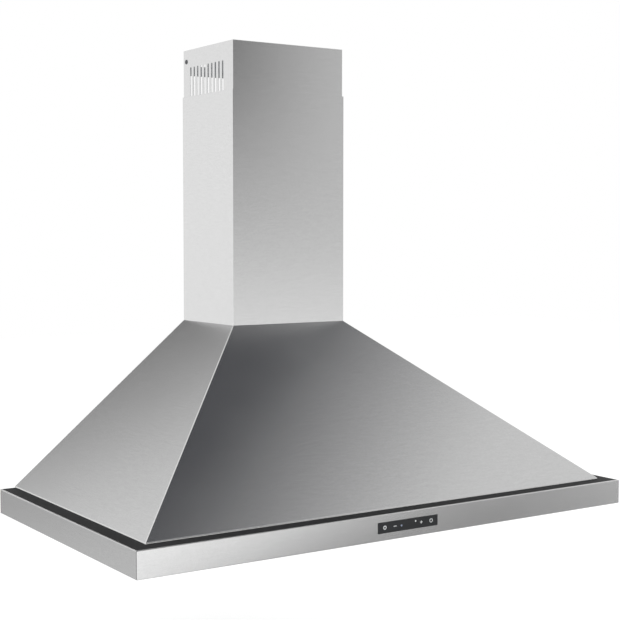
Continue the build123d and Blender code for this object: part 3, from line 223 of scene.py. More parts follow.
def finishPiece(piece, body, slotName, material, *nodes):
    choose(piece)
    bpy.ops.object.transform_apply(location=True, rotation=True, scale=True)
    bpy.ops.object.shade_smooth_by_angle(angle=math.radians(smoothAngle))
    # the small bevels carry the turn of the light, so that the wide sheets stay flat mirrors
    applyModifier(piece, "WEIGHTED_NORMAL", mode="FACE_AREA", weight=100, keep_sharp=True)
    piece.data.materials.clear()
    piece.data.materials.append(material)
    if nodes:
        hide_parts(*nodes)
    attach(piece, body)


# tools for materials

noiseShape = {"Scale": 1.0, "Detail": 3.0, "Roughness": 0.6}
fieldLow, fieldHigh = 0.3, 0.7    # a field's values lie mostly between these


def linearColour(hexColour):
    parts = [int(hexColour[i:i + 2], 16) / 255 for i in (1, 3, 5)]
    return tuple(c / 12.92 if c <= 0.04045 else ((c + 0.055) / 1.055) ** 2.4 for c in parts) + (1.0,)


def addNode(tree, kind, settings=None, values=None, links=None):
    node = tree.nodes.new(kind)
    for key, value in (settings or {}).items():
        setattr(node, key, value)
    for key, value in (values or {}).items():
        node.inputs[key].default_value = value
    for key, socket in (links or {}).items():
        tree.links.new(socket, node.inputs[key])
    return node


def emptyTree(owner):
    owner.use_nodes = True
    owner.node_tree.nodes.clear()
    return owner.node_tree


def startMaterial(name, values):
    material = bpy.data.materials.new(name)
    tree = emptyTree(material)
    shader = addNode(tree, "ShaderNodeBsdfPrincipled", values=values)
    addNode(tree, "ShaderNodeOutputMaterial", links={"Surface": shader.outputs[0]})
    return material, tree, shader


def noiseField(tree, size):
    # noise on the object's own place, with a cell of this size in millimetres along X, Y and Z
    place = addNode(tree, "ShaderNodeTexCoord")
    mapping = addNode(
        tree, "ShaderNodeMapping", values={"Scale": tuple(1 / (step * mm) for step in size)},
        links={"Vector": place.outputs["Object"]},
    )
    noise = addNode(
        tree, "ShaderNodeTexNoise", values=noiseShape, links={"Vector": mapping.outputs[0]}
    )
    return noise.outputs[0]


def mixTones(tree, tones, field, low=fieldLow, high=fieldHigh):
    share = addNode(
        tree, "ShaderNodeMapRange", values={"From Min": low, "From Max": high}, links={"Value": field}
    )
    mixed = addNode(
        tree, "ShaderNodeMix", settings={"data_type": "RGBA"},
        values={6: linearColour(tones[0]), 7: linearColour(tones[1])},
        links={"Factor": share.outputs[0]},
    )
    return mixed.outputs[2]


def finishSkin(tree, shader, tone, roughness, glossField, relief, heightField):
    # every skin here: a tone, a gloss between two roughnesses, and a relief in millimetres
    gloss = addNode(
        tree, "ShaderNodeMapRange",
        values={"From Min": fieldLow, "From Max": fieldHigh,
                "To Min": roughness[0], "To Max": roughness[1]},
        links={"Value": glossField},
    )
    bump = addNode(
        tree, "ShaderNodeBump", values={"Strength": 1.0, "Distance": relief * mm},
        links={"Height": heightField},
    )
    tree.links.new(tone, shader.inputs["Base Color"])
    tree.links.new(gloss.outputs[0], shader.inputs["Roughness"])
    tree.links.new(bump.outputs[0], shader.inputs["Normal"])


# stainless steel 304, belt-brushed: a soft mirror drawn out across the grain, with faint hairlines
brushedFinish = {
    "tones": ("#d7d7d7", "#e1e1e1"),
    "anisotropy": 0.3,
    "turn": 0.25,                 # a quarter turn lays the grain level on upright and sloping faces
    "hairline": (22, 22, 1.5),    # real hairlines are about 0.1 mm wide; drawn wider so that they show
    "mottle": (3.2, 3.2, 3.2),
    "mottleShare": 0.5,
    "cloud": (140, 140, 60),
    "hairlineGloss": 0.10,
    "roughness": (0.195, 0.215),
    "relief": 0.0006,
}
# the same steel inside the rim, grain along the hood's width on level faces
linerFinish = {**brushedFinish, "hairline": (22, 1.5, 22), "turn": 0.0}
# stainless steel 430, pressed into baffles: greyer, with the grain along each baffle
baffleFinish = {
    **brushedFinish, "tones": ("#bdbdbd", "#cdcdcd"), "hairline": (1.5, 22, 22), "turn": 0.0,
}


def makeBrushedSteel(name, s):
    material, tree, shader = startMaterial(name, {
        "Metallic": 1.0,
        "Anisotropic": s["anisotropy"],
        "Anisotropic Rotation": s["turn"],
    })
    tangent = addNode(tree, "ShaderNodeTangent", settings={"direction_type": "RADIAL", "axis": "Z"})
    tree.links.new(tangent.outputs[0], shader.inputs["Tangent"])
    hairline = noiseField(tree, s["hairline"])
    toneField = addNode(
        tree, "ShaderNodeMix", settings={"data_type": "FLOAT"}, values={"Factor": s["mottleShare"]},
        links={"A": hairline, "B": noiseField(tree, s["mottle"])},
    )
    glossField = addNode(
        tree, "ShaderNodeMix", settings={"data_type": "FLOAT"}, values={"Factor": s["hairlineGloss"]},
        links={"A": noiseField(tree, s["cloud"]), "B": hairline},
    )
    tone = mixTones(tree, s["tones"], toneField.outputs[0])
    finishSkin(tree, shader, tone, s["roughness"], glossField.outputs[0], s["relief"], hairline)
    return material


brushedSteel = makeBrushedSteel("brushedStainlessSteel", brushedFinish)
linerSteel = makeBrushedSteel("brushedStainlessLiner", linerFinish)
baffleSteel = makeBrushedSteel("pressedStainlessBaffle", baffleFinish)


def makeSkin(name, tones, grain, drift, roughness, relief, **values):
    # a slow drift in tone and a fine grain in gloss and relief,
    # as moulding, casting, plating and coating leave
    material, tree, shader = startMaterial(name, values)
    grainField = noiseField(tree, (grain,) * 3)
    tone = mixTones(tree, tones, noiseField(tree, (drift,) * 3))
    finishSkin(tree, shader, tone, roughness, grainField, relief, grainField)
    return material


# polyester powder coat, deep matt black: fine orange peel about 1 mm across, light only at a low angle
blackCoat = makeSkin(
    "mattBlackPowderCoat", ("#131314", "#19191b"), 1.0, 60, (0.58, 0.68), 0.02,
    **{"Specular IOR Level": 0.2},
)
# polypropylene, injection moulded: near black, dulled by the spark-eroded texture of its tool
blackPlastic = makeSkin(
    "mouldedBlackPolypropylene", ("#18181a", "#202022"), 0.7, 40, (0.42, 0.58), 0.015
)
# nylon 66, injection moulded in its natural white: warm and a little waxy
whitePlastic = makeSkin(
    "mouldedWhiteNylon", ("#dedcd4", "#e9e8e2"), 0.9, 30, (0.38, 0.50), 0.01, IOR=1.53
)
# aluminium, die cast: dull, with a sandy skin
castAluminium = makeSkin(
    "dieCastAluminium", ("#b4b5b7", "#c6c7c8"), 0.6, 14, (0.42, 0.60), 0.03, Metallic=1.0
)
# steel, bright zinc plated: a slightly blue mirror with soft edges
zincPlate = makeSkin(
    "brightZincPlatedSteel", ("#b9bcc0", "#ccd0d4"), 0.5, 8, (0.24, 0.36), 0.004, Metallic=1.0
)
# steel, black zinc plated: dark, with a dull oily shine; the dark tone is partly painted shade,
# standing for the shade on the bracket screws' heads in their recess
blackZincPaintedShade = makeSkin(
    "blackZincPlatedSteelAndPaintedShade", ("#5c5d60", "#6a6b6e"), 0.5, 8, (0.32, 0.44), 0.004, Metallic=1.0
)
# sheet steel, stove enamelled: an even grey with a soft wet look
greyEnamel = makeSkin(
    "greyStoveEnamel", ("#6d7074", "#7b7e82"), 1.4, 45, (0.30, 0.42), 0.02, **{"Coat Weight": 0.2}
)
# PVC, extruded over the cores: satin, its tone drifting slowly along the lead
greySheath = makeSkin(
    "extrudedGreyVinyl", ("#77787a", "#858688"), 1.2, 25, (0.36, 0.48), 0.01, IOR=1.53
)
# ceramic ink, screen printed: flat white, a little less smooth than the glass
whiteInk = makeSkin("whiteCeramicInk", ("#d9dcdc", "#e8eaea"), 0.4, 6, (0.25, 0.35), 0.001)
# translucent lacquer over the pilot lamp, unlit: a pale cold blue
blueInk = makeSkin("paleBlueLacquer", ("#8790a6", "#969fb2"), 0.4, 6, (0.20, 0.30), 0.001)

# sheet steel, hot-dip galvanised: frost-like zinc crystals, each with its own grey and gloss
galvanisedFinish = {
    "crystal": 9,                 # millimetres across
    "ripple": 0.8,                # waves per crystal in the crystals' outlines
    "rippleDetail": 2.0,
    "bend": 0.012,                # how far those waves carry
    "tones": ("#aaadb0", "#c0c3c4"),
    "roughness": (0.38, 0.48),
    "relief": 0.008,
}


def makeGalvanised(s):
    material, tree, shader = startMaterial("hotDipGalvanisedSteel", {"Metallic": 1.0})
    crystalSize = s["crystal"] * mm
    place = addNode(tree, "ShaderNodeTexCoord")
    ripple = addNode(
        tree, "ShaderNodeTexNoise",
        values={"Scale": s["ripple"] / crystalSize, "Detail": s["rippleDetail"]},
        links={"Vector": place.outputs["Object"]},
    )
    bentPlace = addNode(
        tree, "ShaderNodeMix", settings={"data_type": "VECTOR"}, values={"Factor": s["bend"]},
        links={4: place.outputs["Object"], 5: ripple.outputs["Color"]},
    )
    crystals = addNode(
        tree, "ShaderNodeTexVoronoi", values={"Scale": 1 / crystalSize},
        links={"Vector": bentPlace.outputs[1]},
    )
    chance = addNode(tree, "ShaderNodeSeparateColor", links={"Color": crystals.outputs["Color"]})
    tone = mixTones(tree, s["tones"], chance.outputs[0])
    finishSkin(
        tree, shader, tone, s["roughness"], chance.outputs[1], s["relief"],
        crystals.outputs["Distance"],
    )
    return material


# toughened glass with a black ceramic print behind it: a clear reflection, a faint smear of handling
blackGlassFinish = {
    "shader": {"IOR": 1.52},
    "cell": (30, 30, 9),
    "tones": ("#2a2b2d", "#2d2e30"),
    "roughness": (0.07, 0.16),
    "relief": 0.002,
}
# borosilicate glass, acid frosted on the inside: milky, it lets light through without a clear view
lampGlassFinish = {
    "shader": {"Transmission Weight": 0.55, "IOR": 1.47},
    "cell": (0.8, 0.8, 0.8),
    "tones": ("#e6e9e6", "#f0f2f0"),
    "roughness": (0.36, 0.52),
    "relief": 0.01,
}


def makeGlassSkin(name, s):
    material, tree, shader = startMaterial(name, s["shader"])
    field = noiseField(tree, s["cell"])
    tone = mixTones(tree, s["tones"], field)
    finishSkin(tree, shader, tone, s["roughness"], field, s["relief"], field)
    return material


# glass-epoxy board under green solder mask, copper tracks showing lighter;
# what stands before its face is moulded
boardFinish = {
    "shader": {"IOR": 1.55},
    "mask": ("#1f6b3a", "#237542"),
    "track": "#3f9a5c",
    "trackWidth": 0.6,
    "trackLength": 11,
    "trackPitch": 4,
    "moulded": "#2c3036",
    "cell": (3, 3, 3),
    "roughness": (0.25, 0.40),
    "relief": 0.005,
}


def makeBoard(name, s, faceY):
    material, tree, shader = startMaterial(name, s["shader"])
    place = addNode(tree, "ShaderNodeTexCoord")
    upright = addNode(
        tree, "ShaderNodeMapping", values={"Rotation": (math.radians(90), 0, 0)},
        links={"Vector": place.outputs["Object"]},
    )
    tracks = addNode(
        tree, "ShaderNodeTexBrick",
        values={"Scale": 1.0, "Mortar Size": s["trackWidth"] * mm,
                "Brick Width": s["trackLength"] * mm, "Row Height": s["trackPitch"] * mm,
                "Color1": linearColour(s["mask"][0]), "Color2": linearColour(s["mask"][1]),
                "Mortar": linearColour(s["track"])},
        links={"Vector": upright.outputs[0]},
    )
    parts = addNode(tree, "ShaderNodeSeparateXYZ", links={"Vector": place.outputs["Object"]})
    moulded = addNode(
        tree, "ShaderNodeMath", settings={"operation": "LESS_THAN"}, values={1: faceY * mm},
        links={0: parts.outputs[1]},
    )
    tone = addNode(
        tree, "ShaderNodeMix", settings={"data_type": "RGBA"}, values={7: linearColour(s["moulded"])},
        links={"Factor": moulded.outputs[0], 6: tracks.outputs["Color"]},
    )
    wax = noiseField(tree, s["cell"])
    finishSkin(tree, shader, tone.outputs[2], s["roughness"], wax, s["relief"], wax)
    return material


galvanised = makeGalvanised(galvanisedFinish)
blackGlass = makeGlassSkin("blackPrintedGlass", blackGlassFinish)
lampGlass = makeGlassSkin("frostedLampGlass", lampGlassFinish)
touchBoard = makeBoard("touchBoardLaminate", boardFinish, -600)
powerBoard = makeBoard("powerBoardLaminate", boardFinish, -13.7)
print("materials ready")

# rim: three folded panels, mitred at the front corners, with a thin dark joint there

rimPanels = {
    "halfWidth": 450.0,
    "depth": 500.0,
    "rear": 1.0,
    "height": 39.5,
    "topReturn": 2.5,
    "bottomReturn": 15.0,
    "sheet": 1.0,
    "fold": 1.1,
    "foldSteps": 4,
    "seam": 1.0,
    "edge": 0.2,
    "windowHalf": 56.8,
    "windowLow": 11.2,
    "windowHigh": 27.8,
}
leastDepth = 0.01    # millimetres behind the outer face from which a mitre moves a point
sameDepth = 0.002    # millimetres between points that it moves together


def mitreEnd(piece, atEnd, depth, way):
    # moves the cut end of a folded panel, each point by its own depth behind the outer face
    mesh = bmesh.from_edit_mesh(piece.data)
    ends = [vertex.co / mm for vertex in mesh.verts if atEnd(vertex.co / mm)]
    for reach in sorted({round(depth(at), 3) for at in ends}):
        if reach > leastDepth:
            pick(piece, "VERT", lambda at, run: atEnd(at) and abs(depth(at) - reach) < sameDepth)
            shift(*(value * reach for value in way))


def makeRimFront(s):
    half, front, top = s["halfWidth"], -s["depth"], s["height"]
    piece = addPlate("rimFront", (0, front, top / 2), 2 * half, top, (90, 0, 0))
    edit(piece)
    for x in (-s["windowHalf"], s["windowHalf"]):
        cutAt(piece, (x, 0, 0), (1, 0, 0))
    for z in (s["windowLow"], s["windowHigh"]):
        cutAt(piece, (0, 0, z), (0, 0, 1), lambda at, way: abs(at.x) < s["windowHalf"])
    middle = (s["windowLow"] + s["windowHigh"]) / 2
    removePicked(piece, lambda at, way: isAt(at.x, 0) and isAt(at.z, middle))
    pick(piece, "EDGE", lambda at, way: isAt(at.z, top) and runsAlong(way.x))
    pull(0, s["topReturn"], 0)
    pick(piece, "EDGE", lambda at, way: isAt(at.z, 0) and runsAlong(way.x))
    pull(0, s["bottomReturn"], 0)
    pick(piece, "EDGE", lambda at, way: isAt(at.y, front) and runsAlong(way.x)
         and (isAt(at.z, 0) or isAt(at.z, top)))
    roundPicked(s["fold"], s["foldSteps"])
    faceOutward(piece, lambda at, way: isAt(at.y, front) and way.y < -mostly)
    thicken(piece, s["sheet"])
    edit(piece)
    for side in (-1, 1):
        mitreEnd(piece, lambda at: isAt(at.x, side * half), lambda at: at.y - front, (-side, 0, 0))
    soften(piece, s["edge"])
    finishPiece(piece, "hood", "stainless", brushedSteel, "rim_front_panel")


def makeRimSides(s):
    half, front, top = s["halfWidth"], s["seam"] - s["depth"], s["height"]
    length = -front - s["rear"]
    left = addPlate("rimLeft", (-half, front + length / 2, top / 2), length, top, (90, 0, -90))
    edit(left)
    pick(left, "EDGE", lambda at, way: isAt(at.z, top) and runsAlong(way.y))
    pull(s["topReturn"], 0, 0)
    pick(left, "EDGE", lambda at, way: isAt(at.z, 0) and runsAlong(way.y))
    pull(s["bottomReturn"], 0, 0)
    pick(left, "EDGE", lambda at, way: isAt(at.x, -half) and runsAlong(way.y))
    roundPicked(s["fold"], s["foldSteps"])
    faceOutward(left, lambda at, way: isAt(at.x, -half) and way.x < -mostly)
    thicken(left, s["sheet"])
    edit(left)
    mitreEnd(left, lambda at: isAt(at.y, front), lambda at: half + at.x, (0, 1, 0))
    soften(left, s["edge"])
    choose(left)
    bpy.ops.object.duplicate(linked=False)
    right = nameNew("rimRight")
    bpy.ops.transform.resize(value=(-1, 1, 1), center_override=(0, 0, 0))
    bpy.ops.object.transform_apply(location=True, rotation=True, scale=True)
    edit(right, "FACE")
    bpy.ops.mesh.normals_make_consistent(inside=False)
    finishPiece(left, "hood", "stainless", brushedSteel, "rim_left_panel")
    finishPiece(right, "hood", "stainless", brushedSteel, "rim_right_panel")


makeRimFront(rimPanels)
makeRimSides(rimPanels)
print("rim modelled")

# ledge: black frame between the rim and the canopy

ledgeFrame = {
    "halfWidth": 447.5,
    "front": 497.5,
    "rear": 1.0,
    "top": 39.5,
    "innerHalf": 410.0,
    "innerFront": 460.0,
    "sheet": 1.0,
    "edge": 0.2,
}


def makeLedge(s):
    depth = s["front"] - s["rear"]
    place = (0, -s["rear"] - depth / 2, s["top"])
    piece = addPlate("shadowLedge", place, 2 * s["halfWidth"], depth)
    edit(piece)
    for x in (-s["innerHalf"], s["innerHalf"]):
        cutAt(piece, (x, 0, 0), (1, 0, 0))
    cutAt(piece, (0, -s["innerFront"], 0), (0, 1, 0), lambda at, way: abs(at.x) < s["innerHalf"])
    removePicked(piece, lambda at, way: isAt(at.x, 0) and at.y > -s["innerFront"])
    faceOutward(piece, lambda at, way: way.z > mostly)
    thicken(piece, s["sheet"])
    soften(piece, s["edge"])
    finishPiece(piece, "hood", "black_enamel", blackCoat, "shadow_ledge")


makeLedge(ledgeFrame)

# canopy: three panels welded and ground to one shell, with an upright kick and a turned-in foot

canopySheet = {
    "footHalf": 425.0,
    "footFront": 475.0,
    "rear": 1.0,
    "base": 39.5,
    "kick": 2.0,
    "top": 303.0,
    "topHalf": 111.0,
    "topFront": 172.0,
    "foot": 15.0,
    "sheet": 1.0,
    "fold": 1.3,
    "foldSteps": 4,
    "edge": 0.2,
}


def makeCanopy(s):
    half, front, rear = s["footHalf"], s["footFront"], s["rear"]
    kickTop = s["base"] + s["kick"]
    pivot = metres((0, -rear, kickTop))

    def onCorner(at, way):
        return isAt(abs(at.x), half) and isAt(at.y, -front) and runsAlong(way.z)

    def onKickTop(at, way):
        return isAt(at.z, kickTop) and isLevel(way)

    def onSeam(at, way):
        return at.y < -s["topFront"] and abs(way.z) > slanting and abs(way.x) > slanting

    place = (0, -front, s["base"] + s["kick"] / 2)
    piece = addPlate("canopyShell", place, 2 * half, s["kick"], (90, 0, 0))
    edit(piece)
    for side in (-1, 1):
        pick(piece, "EDGE", lambda at, way: isAt(at.x, side * half) and onCorner(at, way))
        pull(0, front - rear, 0)
    pick(piece, "EDGE", onKickTop)
    pull(0, 0, s["top"] - kickTop)
    shrink = (s["topHalf"] / half, (s["topFront"] - rear) / (front - rear), 1)
    bpy.ops.transform.resize(value=shrink, center_override=pivot)
    pick(piece, "EDGE", lambda at, way: isAt(at.z, s["base"]) and isLevel(way))
    pull(0, 0, 0)
    shrink = ((half - s["foot"]) / half, (front - s["foot"] - rear) / (front - rear), 1)
    bpy.ops.transform.resize(value=shrink, center_override=pivot)
    pick(piece, "EDGE", lambda at, way: onSeam(at, way) or onCorner(at, way) or onKickTop(at, way))
    roundPicked(s["fold"], s["foldSteps"])
    faceOutward(piece, lambda at, way: isAt(at.x, 0) and at.z > kickTop and way.y < -slanting)
    thicken(piece, s["sheet"])
    soften(piece, s["edge"])
    finishPiece(
        piece, "hood", "stainless", brushedSteel,
        "canopy_front_panel", "canopy_left_panel", "canopy_right_panel",
    )


makeCanopy(canopySheet)
print("canopy modelled")

# chimney: two folded covers, the upper one inside the lower

lowerCover = {
    "half": 111.0,
    "front": 172.0,
    "rear": 0.0,
    "low": 303.0,
    "high": 691.0,
    "sheet": 0.8,
    "fold": 1.1,
    "foldSteps": 5,
    "returnWidth": 12.0,
    "returnTop": 606.0,
    "tabFront": 152.0,
    "tabRear": 20.0,
    "edge": 0.2,
}
upperCover = {
    "half": 109.3,
    "front": 170.3,
    "rear": 1.2,
    "low": 391.0,
    "high": 771.0,
    "sheet": 0.8,
    "fold": 1.1,
    "foldSteps": 5,
    "returnWidth": 12.0,
    "returnTop": 699.5,
    "edge": 0.2,
    "slots": 10,
    "slotFirst": 27.0,
    "slotPitch": 12.2,
    "slotWidth": 5.0,
    "slotLow": 681.0,
    "slotHigh": 741.0,
    "slotSides": 24,
}


def cutSlots(piece, s):
    # the cutter is a rod that reaches through both sides, its upper half moved up to the slot's top
    radius = s["slotWidth"] / 2
    low, high = s["slotLow"] + radius, s["slotHigh"] - radius
    deselectAll()
    bpy.ops.mesh.primitive_cylinder_add(
        vertices=s["slotSides"], radius=radius * mm, depth=3 * s["half"] * mm,
        location=metres((0, -s["slotFirst"], low)), rotation=(0, math.radians(90), 0),
    )
    cutter = nameNew("slotCutter")
    bpy.ops.object.transform_apply(location=True, rotation=True, scale=True)
    edit(cutter, "VERT")
    pick(cutter, "VERT", lambda at, way: at.z > low + near)
    shift(0, 0, high - low)
    bpy.ops.object.mode_set(mode="OBJECT")
    cutters = [cutter]
    for i in range(1, s["slots"]):
        choose(cutter)
        bpy.ops.object.duplicate(linked=False)
        bpy.ops.transform.translate(value=metres((0, -s["slotPitch"] * i, 0)))
        cutters.append(bpy.context.object)
    for tool in cutters:
        applyModifier(piece, "BOOLEAN", operation="DIFFERENCE", object=tool, solver="EXACT")
    for tool in cutters:
        bpy.data.objects.remove(tool)


def makeCover(name, s, node, body):
    half, front, rear, low = s["half"], s["front"], s["rear"], s["low"]
    height = s["high"] - low

    def onCorner(at, way):
        return isAt(abs(at.x), half) and isAt(at.y, -front) and runsAlong(way.z)

    def onRear(at, way):
        return isAt(at.y, -rear) and runsAlong(way.z) and at.z < s["returnTop"]

    def onTab(at, way):
        return isAt(at.z, low) and runsAlong(way.y) and -s["tabFront"] < at.y < -s["tabRear"]

    piece = addPlate(name, (0, -front, low + height / 2), 2 * half, height, (90, 0, 0))
    edit(piece)
    for side in (-1, 1):
        pick(piece, "EDGE", lambda at, way: isAt(at.x, side * half) and onCorner(at, way))
        pull(0, front - rear, 0)
    cutAt(piece, (0, 0, s["returnTop"]), (0, 0, 1), facesSideways)
    for side in (-1, 1):
        pick(piece, "EDGE", lambda at, way: isAt(at.x, side * half) and onRear(at, way))
        pull(-side * (s["returnWidth"] + s["sheet"]), 0, 0)
    if "tabFront" in s:
        for y in (-s["tabFront"], -s["tabRear"]):
            cutAt(piece, (0, y, 0), (0, 1, 0), facesSideways)
        for side in (-1, 1):
            pick(piece, "EDGE", lambda at, way: isAt(at.x, side * half) and onTab(at, way))
            pull(-side * (s["returnWidth"] + s["sheet"]), 0, 0)
    pick(piece, "EDGE", onCorner)
    roundPicked(s["fold"], s["foldSteps"])
    faceOutward(piece, lambda at, way: isAt(at.x, 0) and way.y < -mostly)
    thicken(piece, s["sheet"])
    if "slots" in s:
        cutSlots(piece, s)
    soften(piece, s["edge"])
    finishPiece(piece, body, "stainless", brushedSteel, node)


makeCover("lowerDuctCover", lowerCover, "lower_duct_cover", "hood")
makeCover("upperDuctCover", upperCover, "upper_duct_cover", "upper_chimney")
print("chimney modelled")

# touch control: black glass with printed legends, each a dot, a ring or a bar
# at its place along the rim and up it

touchGlass = {
    "width": 113.0,
    "height": 16.0,
    "middle": 19.5,
    "face": 500.35,
    "back": 497.6,
    "corner": 0.8,
    "cornerSteps": 4,
    "edge": 0.3,
    "edgeSteps": 2,
}
ink = {
    "face": 500.39,
    "discSides": 40,
    "dotBorder": 0.12,
    "barCorner": 0.25,            # as a share of the bar's smaller side
    "barCornerSteps": 3,
}
dots = {
    "legendPilot": {"x": -12.9, "z": 19.2, "diameter": 3.0, "ink": blueInk},
    "legendSpeed": {"x": 13.7, "z": 22.7, "diameter": 2.7, "ink": whiteInk},
}
rings = {
    "legendLamp": {"x": -44.0, "z": 19.7, "diameter": 5.9, "line": 1.2, "gap": 0},
    "legendPower": {"x": 43.6, "z": 20.0, "diameter": 6.2, "line": 0.9, "gap": 0.8},
}
bars = {
    "legendMinus": {"x": -25.0, "z": 19.7, "width": 5.4, "height": 1.0},
    "legendPlusAcross": {"x": 24.6, "z": 19.8, "width": 4.4, "height": 1.1},
    "legendPlusUp": {"x": 24.6, "z": 19.8, "width": 1.1, "height": 4.4},
    "legendPowerStroke": {"x": 43.6, "z": 22.3, "width": 0.8, "height": 2.4},
}


def makeGlass(s):
    depth = s["face"] - s["back"]
    place = (0, -s["face"] + depth / 2, s["middle"])
    piece = addBlock("touchGlass", place, (s["width"], depth, s["height"]))
    edit(piece)
    pick(piece, "EDGE", lambda at, way: runsAlong(way.y))
    roundPicked(s["corner"], s["cornerSteps"])
    pick(piece, "EDGE", lambda at, way: isAt(at.y, -s["face"]) and abs(way.y) < 1 - mostly)
    roundPicked(s["edge"], s["edgeSteps"])
    finishPiece(piece, "hood", "black_glass", blackGlass, "control_glass")


def finishLegend(piece, material):
    thicken(piece, ink["face"] - touchGlass["face"])
    finishPiece(piece, "hood", "white_plastic", material)


def addDisc(name, s):
    deselectAll()
    bpy.ops.mesh.primitive_circle_add(
        vertices=ink["discSides"], radius=s["diameter"] / 2 * mm, fill_type="NGON",
        location=metres((s["x"], -ink["face"], s["z"])), rotation=(math.radians(90), 0, 0),
    )
    piece = nameNew(name)
    bpy.ops.object.transform_apply(location=True, rotation=True, scale=True)
    edit(piece, "FACE")
    return piece


def makeDot(name, s):
    piece = addDisc(name, s)
    bpy.ops.mesh.inset(thickness=ink["dotBorder"] * mm, depth=0)
    finishLegend(piece, s["ink"])


def makeRing(name, s):
    piece = addDisc(name, s)
    bpy.ops.mesh.inset(thickness=s["line"] * mm, depth=0)
    removePicked(piece, lambda at, way: isAt(at.x, s["x"]) and isAt(at.z, s["z"]))
    if s["gap"]:
        removePicked(piece, lambda at, way: abs(at.x - s["x"]) < s["gap"] and at.z > s["z"])
    finishLegend(piece, whiteInk)


def makeBar(name, s):
    place = (s["x"], -ink["face"], s["z"])
    piece = addPlate(name, place, s["width"], s["height"], (90, 0, 0))
    edit(piece, "VERT")
    corner = ink["barCorner"] * min(s["width"], s["height"])
    roundPicked(corner, ink["barCornerSteps"], "VERTICES")
    finishLegend(piece, whiteInk)


makeGlass(touchGlass)
for makeLegend, legends in ((makeDot, dots), (makeRing, rings), (makeBar, bars)):
    for legendName, legendSettings in legends.items():
        makeLegend(legendName, legendSettings)
print("touch control modelled")

# nodes of the frame that keep their shape get the finish of the real part

keptFinishes = {
    galvanised: [
        "canopy_back_panel", "canopy_top_plate", "upper_wall_bracket", "blower_scroll",
        "blower_side_left", "blower_side_right", "blower_outlet_flange", "motor_bracket",
        "power_box_base", "power_box_lid", "junction_box", "junction_box_cover",
    ],
    zincPlate: ["liner_rivets", "inner_screws", "lower_cover_screws", "motor_shaft", "damper_rods"],
    # the bracket screws are drawn dark partly as painted shade of their recess
    blackZincPaintedShade: ["bracket_screws"],
    linerSteel: ["bottom_liner", "light_bezel_left", "light_bezel_right"],
    baffleSteel: ["filter_left", "filter_centre", "filter_right"],
    castAluminium: ["light_body_left", "light_body_right"],
    lampGlass: ["light_lens_left", "light_lens_right"],
    blackPlastic: [
        "control_housing", "latch_left", "latch_centre", "latch_right", "outlet_collar",
        "damper_flap_front", "damper_flap_rear", "impeller", "impeller_rings", "impeller_blades",
    ],
    whitePlastic: ["terminal_block", "lead_clips", "motor_capacitor"],
    greyEnamel: ["motor_body"],
    greySheath: ["supply_lead", "motor_lead", "control_lead", "lamp_leads"],
    touchBoard: ["control_board"],
    powerBoard: ["power_board"],
}
for finish, names in keptFinishes.items():
    for name in names:
        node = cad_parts[name]
        node.data.materials.clear()
        node.data.materials.append(finish)
print("kept nodes finished")

# studio: white surroundings, two soft boxes, grey flags that only reflections see, and a pale floor

studio = {
    "skyLevel": 0.60,
    "seenSkyLevel": 1.0,
    "aim": (0.0, -0.25, 0.3),
    "floorHeight": -0.30,
    "floorSize": 14.0,
    "paper": "#bcbcbc",
    "paperGlow": 0.70,
}
softBoxes = {
    "keySoftBox": {"place": (-2.2, -2.6, 2.9), "size": 2.4, "power": 88.0},
    "fillSoftBox": {"place": (2.6, -2.0, 1.6), "size": 2.0, "power": 36.0},
}
# each flag: middle, width and height in metres, turn in degrees, tone at both ends of a ramp along
# its width, where that ramp lies, and how much of its left, right, bottom and top fades out
flags = {
    "overheadFlag": {
        "place": (1.59, -0.83, 2.2), "size": (3.9, 4.0), "turn": (0, 0, -40.5),
        "tones": ("#4b4c50", "#e3e3e3"), "ramp": (0.295, 0.54), "fade": (0.16, 0.12, 0.18, 0.18),
    },
    "rearFlag": {
        "place": (-0.61, 5.53, 2.2), "size": (5.0, 7.0), "turn": (0, 0, 200),
        "tones": ("#3c3c3c", "#efefef"), "ramp": (0.50, 0.70), "fade": (0.15, 0.15, 0.15, 0.10),
    },
    "rightFlag": {
        "place": (0.45, -2.2, 1.43), "size": (2.30, 2.36), "turn": (90, 0, 0),
        "tones": ("#6c6c6c", "#6c6c6c"), "ramp": (0, 1), "fade": (0.20, 0.28, 0.40, 0.15),
    },
    "frontFlag": {
        "place": (1.5, -2.6, 1.5), "size": (6.0, 3.0), "turn": (90, 0, 0),
        "tones": ("#d6d6d6", "#d6d6d6"), "ramp": (0, 1), "fade": (0.15, 0.15, 0.15, 0.15),
    },
    "lowFlag": {
        "place": (1.291, -0.897, -0.28), "size": (2.56, 3.20), "turn": (0, 0, 55),
        "tones": ("#949494", "#e0e0e0"), "ramp": (0.27, 0.56), "fade": (0.18, 0.10, 0.12, 0.12),
    },
    "lowLeftFlag": {
        "place": (-1.2, 1.1, -0.28), "size": (3.0, 2.4), "turn": (0, 0, 90),
        "tones": ("#cfcfcf", "#a6a6a6"), "ramp": (0.35, 0.65), "fade": (0.15, 0.30, 0.15, 0.15),
    },
}
white = (1, 1, 1, 1)


def whiteFor(tree, first, second):
    # camera, mirror and glass rays meet the second shader, all others the first
    path = addNode(tree, "ShaderNodeLightPath")
    seen = addNode(
        tree, "ShaderNodeMath", settings={"operation": "MAXIMUM"},
        links={0: path.outputs["Is Camera Ray"], 1: path.outputs["Is Glossy Ray"]},
    )
    either = addNode(
        tree, "ShaderNodeMath", settings={"operation": "MAXIMUM"},
        links={0: seen.outputs[0], 1: path.outputs["Is Transmission Ray"]},
    )
    return addNode(
        tree, "ShaderNodeMixShader",
        links={0: either.outputs[0], 1: first.outputs[0], 2: second.outputs[0]},
    )


